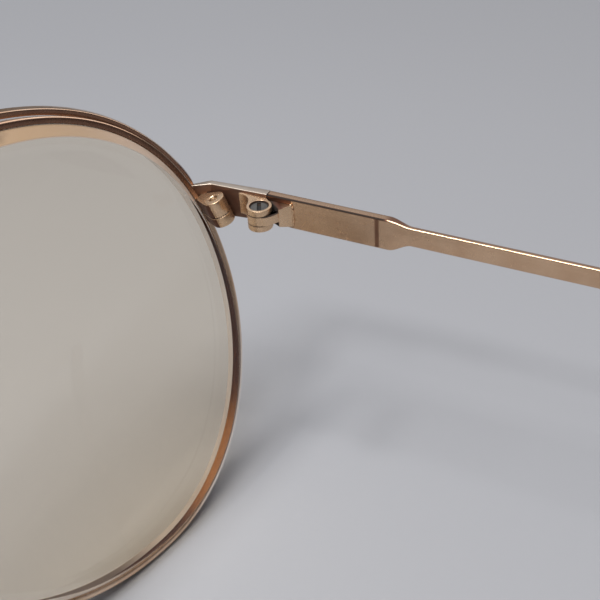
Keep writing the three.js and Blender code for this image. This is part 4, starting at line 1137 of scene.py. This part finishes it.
def table():
    """Flat square sheet on a grid, with the part standing on it."""
    edge = np.linspace(-TABLE_HALF, TABLE_HALF, 9)
    x, y = np.meshgrid(edge, edge)
    n = len(edge)
    corner = (np.arange(n - 1)[:, None] * n + np.arange(n - 1)).ravel()
    mesh = bpy.data.meshes.new("table")
    mesh.from_pydata(np.stack([x, y, 0 * x], -1).reshape(-1, 3).tolist(), [],
                     np.stack([corner, corner + 1, corner + n + 1, corner + n], -1).tolist())
    mesh.materials.append(table_top())
    obj = bpy.data.objects.new("table", mesh)
    bpy.context.collection.objects.link(obj)


def look_matrix(right, upwards, back, place):
    """Matrix of an object with the given axes at a place."""
    matrix = Matrix.Identity(4)
    for row in range(3):
        matrix[row] = (right[row], upwards[row], back[row], place[row])
    return matrix


def lamp(name, towards, distance, width, length, power, turn=0):
    """Strip light over the hinge, in a direction from it, facing it, its length along the temples or
    turned away."""
    back = unit(np.array(towards, float))
    right = unit(np.cross((np.sin(turn), np.cos(turn), 0), back))
    data = bpy.data.lights.new(name, "AREA")
    data.shape, data.size, data.size_y, data.energy = "RECTANGLE", width, length, power
    obj = bpy.data.objects.new(name, data)
    obj.matrix_world = look_matrix(right, np.cross(back, right), back, HINGE * MM + back * distance)
    bpy.context.collection.objects.link(obj)


def surroundings():
    """Soft grey room: brighter overhead than at the horizon, seen by the camera as the colour of the
    table."""
    world = bpy.data.worlds.new("room")
    bpy.context.scene.world = world
    w = Nodes(world)
    towards = w.node("TexCoord", out="Generated")
    x, y, height = (w.node("SeparateXYZ", None, {0: towards}, axis) for axis in range(3))
    room = w.mix(height.between(-0.1, 0.9), (0.14, 0.14, 0.145), (0.27, 0.27, 0.28))
    sheen = w.mix(height.between(-0.1, 0.9), (0.36, 0.37, 0.39), (0.70, 0.73, 0.80))
    mirrored = w.node("LightPath", out="Is Glossy Ray")
    sheen = w.mix(height.between(0.2, 0.5), (0.1, 0.09, 0.09), sheen)
    reflector = height.between(0.12, 0.22) * (0 - x).between(0.45, 0.6) * y.between(0.08, 0.2)
    sheen = w.mix(reflector * (1 - y.between(0.45, 0.6)), sheen, (1.7, 1.5, 1.45))
    room = w.mix(mirrored, room, sheen)
    colour = w.mix(in_sight(w), room, BACKDROP)
    w.node("OutputWorld", None, {"Surface": w.node("Background", None, {"Color": colour})})


# Camera of the photograph: bearing, height and roll of its sight, and where the hinge shows in the image
IMAGE = 600
VIEW_BEARING, VIEW_HEIGHT, VIEW_ROLL = np.radians((60.57, 36.87, -4.11))
FOCAL_PIXELS, HINGE_DISTANCE = 997.4, 110
HINGE_PIXEL = np.array((259.89, 215.66))
SENSOR = 36


def camera():
    """Camera that sees the hinge at its pixel: the line of sight turned by the roll, and a place such
    that the hinge lies at its distance along the sight and at its offsets in the image."""
    level_sight = np.array((np.sin(VIEW_BEARING), np.cos(VIEW_BEARING), 0))
    sight = -level_sight * np.cos(VIEW_HEIGHT) - UP * np.sin(VIEW_HEIGHT)
    right = np.array((-level_sight[1], level_sight[0], 0))
    above = np.cross(right, sight)
    turned_right = right * np.cos(VIEW_ROLL) + above * np.sin(VIEW_ROLL)
    turned_up = above * np.cos(VIEW_ROLL) - right * np.sin(VIEW_ROLL)
    x, y = (HINGE_PIXEL - IMAGE / 2) * (1, -1) / FOCAL_PIXELS * HINGE_DISTANCE
    place = HINGE - sight * HINGE_DISTANCE - turned_right * x - turned_up * y
    data = bpy.data.cameras.new("camera")
    data.sensor_width, data.lens, data.clip_start = SENSOR, FOCAL_PIXELS / IMAGE * SENSOR, 0.002
    obj = bpy.data.objects.new("camera", data)
    obj.matrix_world = look_matrix(turned_right, turned_up, -sight, place * MM)
    bpy.context.collection.objects.link(obj)
    bpy.context.scene.camera = obj


table()
surroundings()
lamp("far_tube", (24, -6, 34), 0.5, 0.05, 0.1, 0.55)
lamp("far_panel", (18, -0.5, 34), 0.5, 0.12, 0.25, 0.45, np.radians(-30))
lamp("near_tube", (6.3, -11.6, 34), 0.5, 0.14, 0.06, 0.9)
lamp("panel", (6.8, 4.1, 34), 0.5, 0.2, 0.22, 1.05)
camera()
bpy.context.scene.view_settings.view_transform = "Standard"
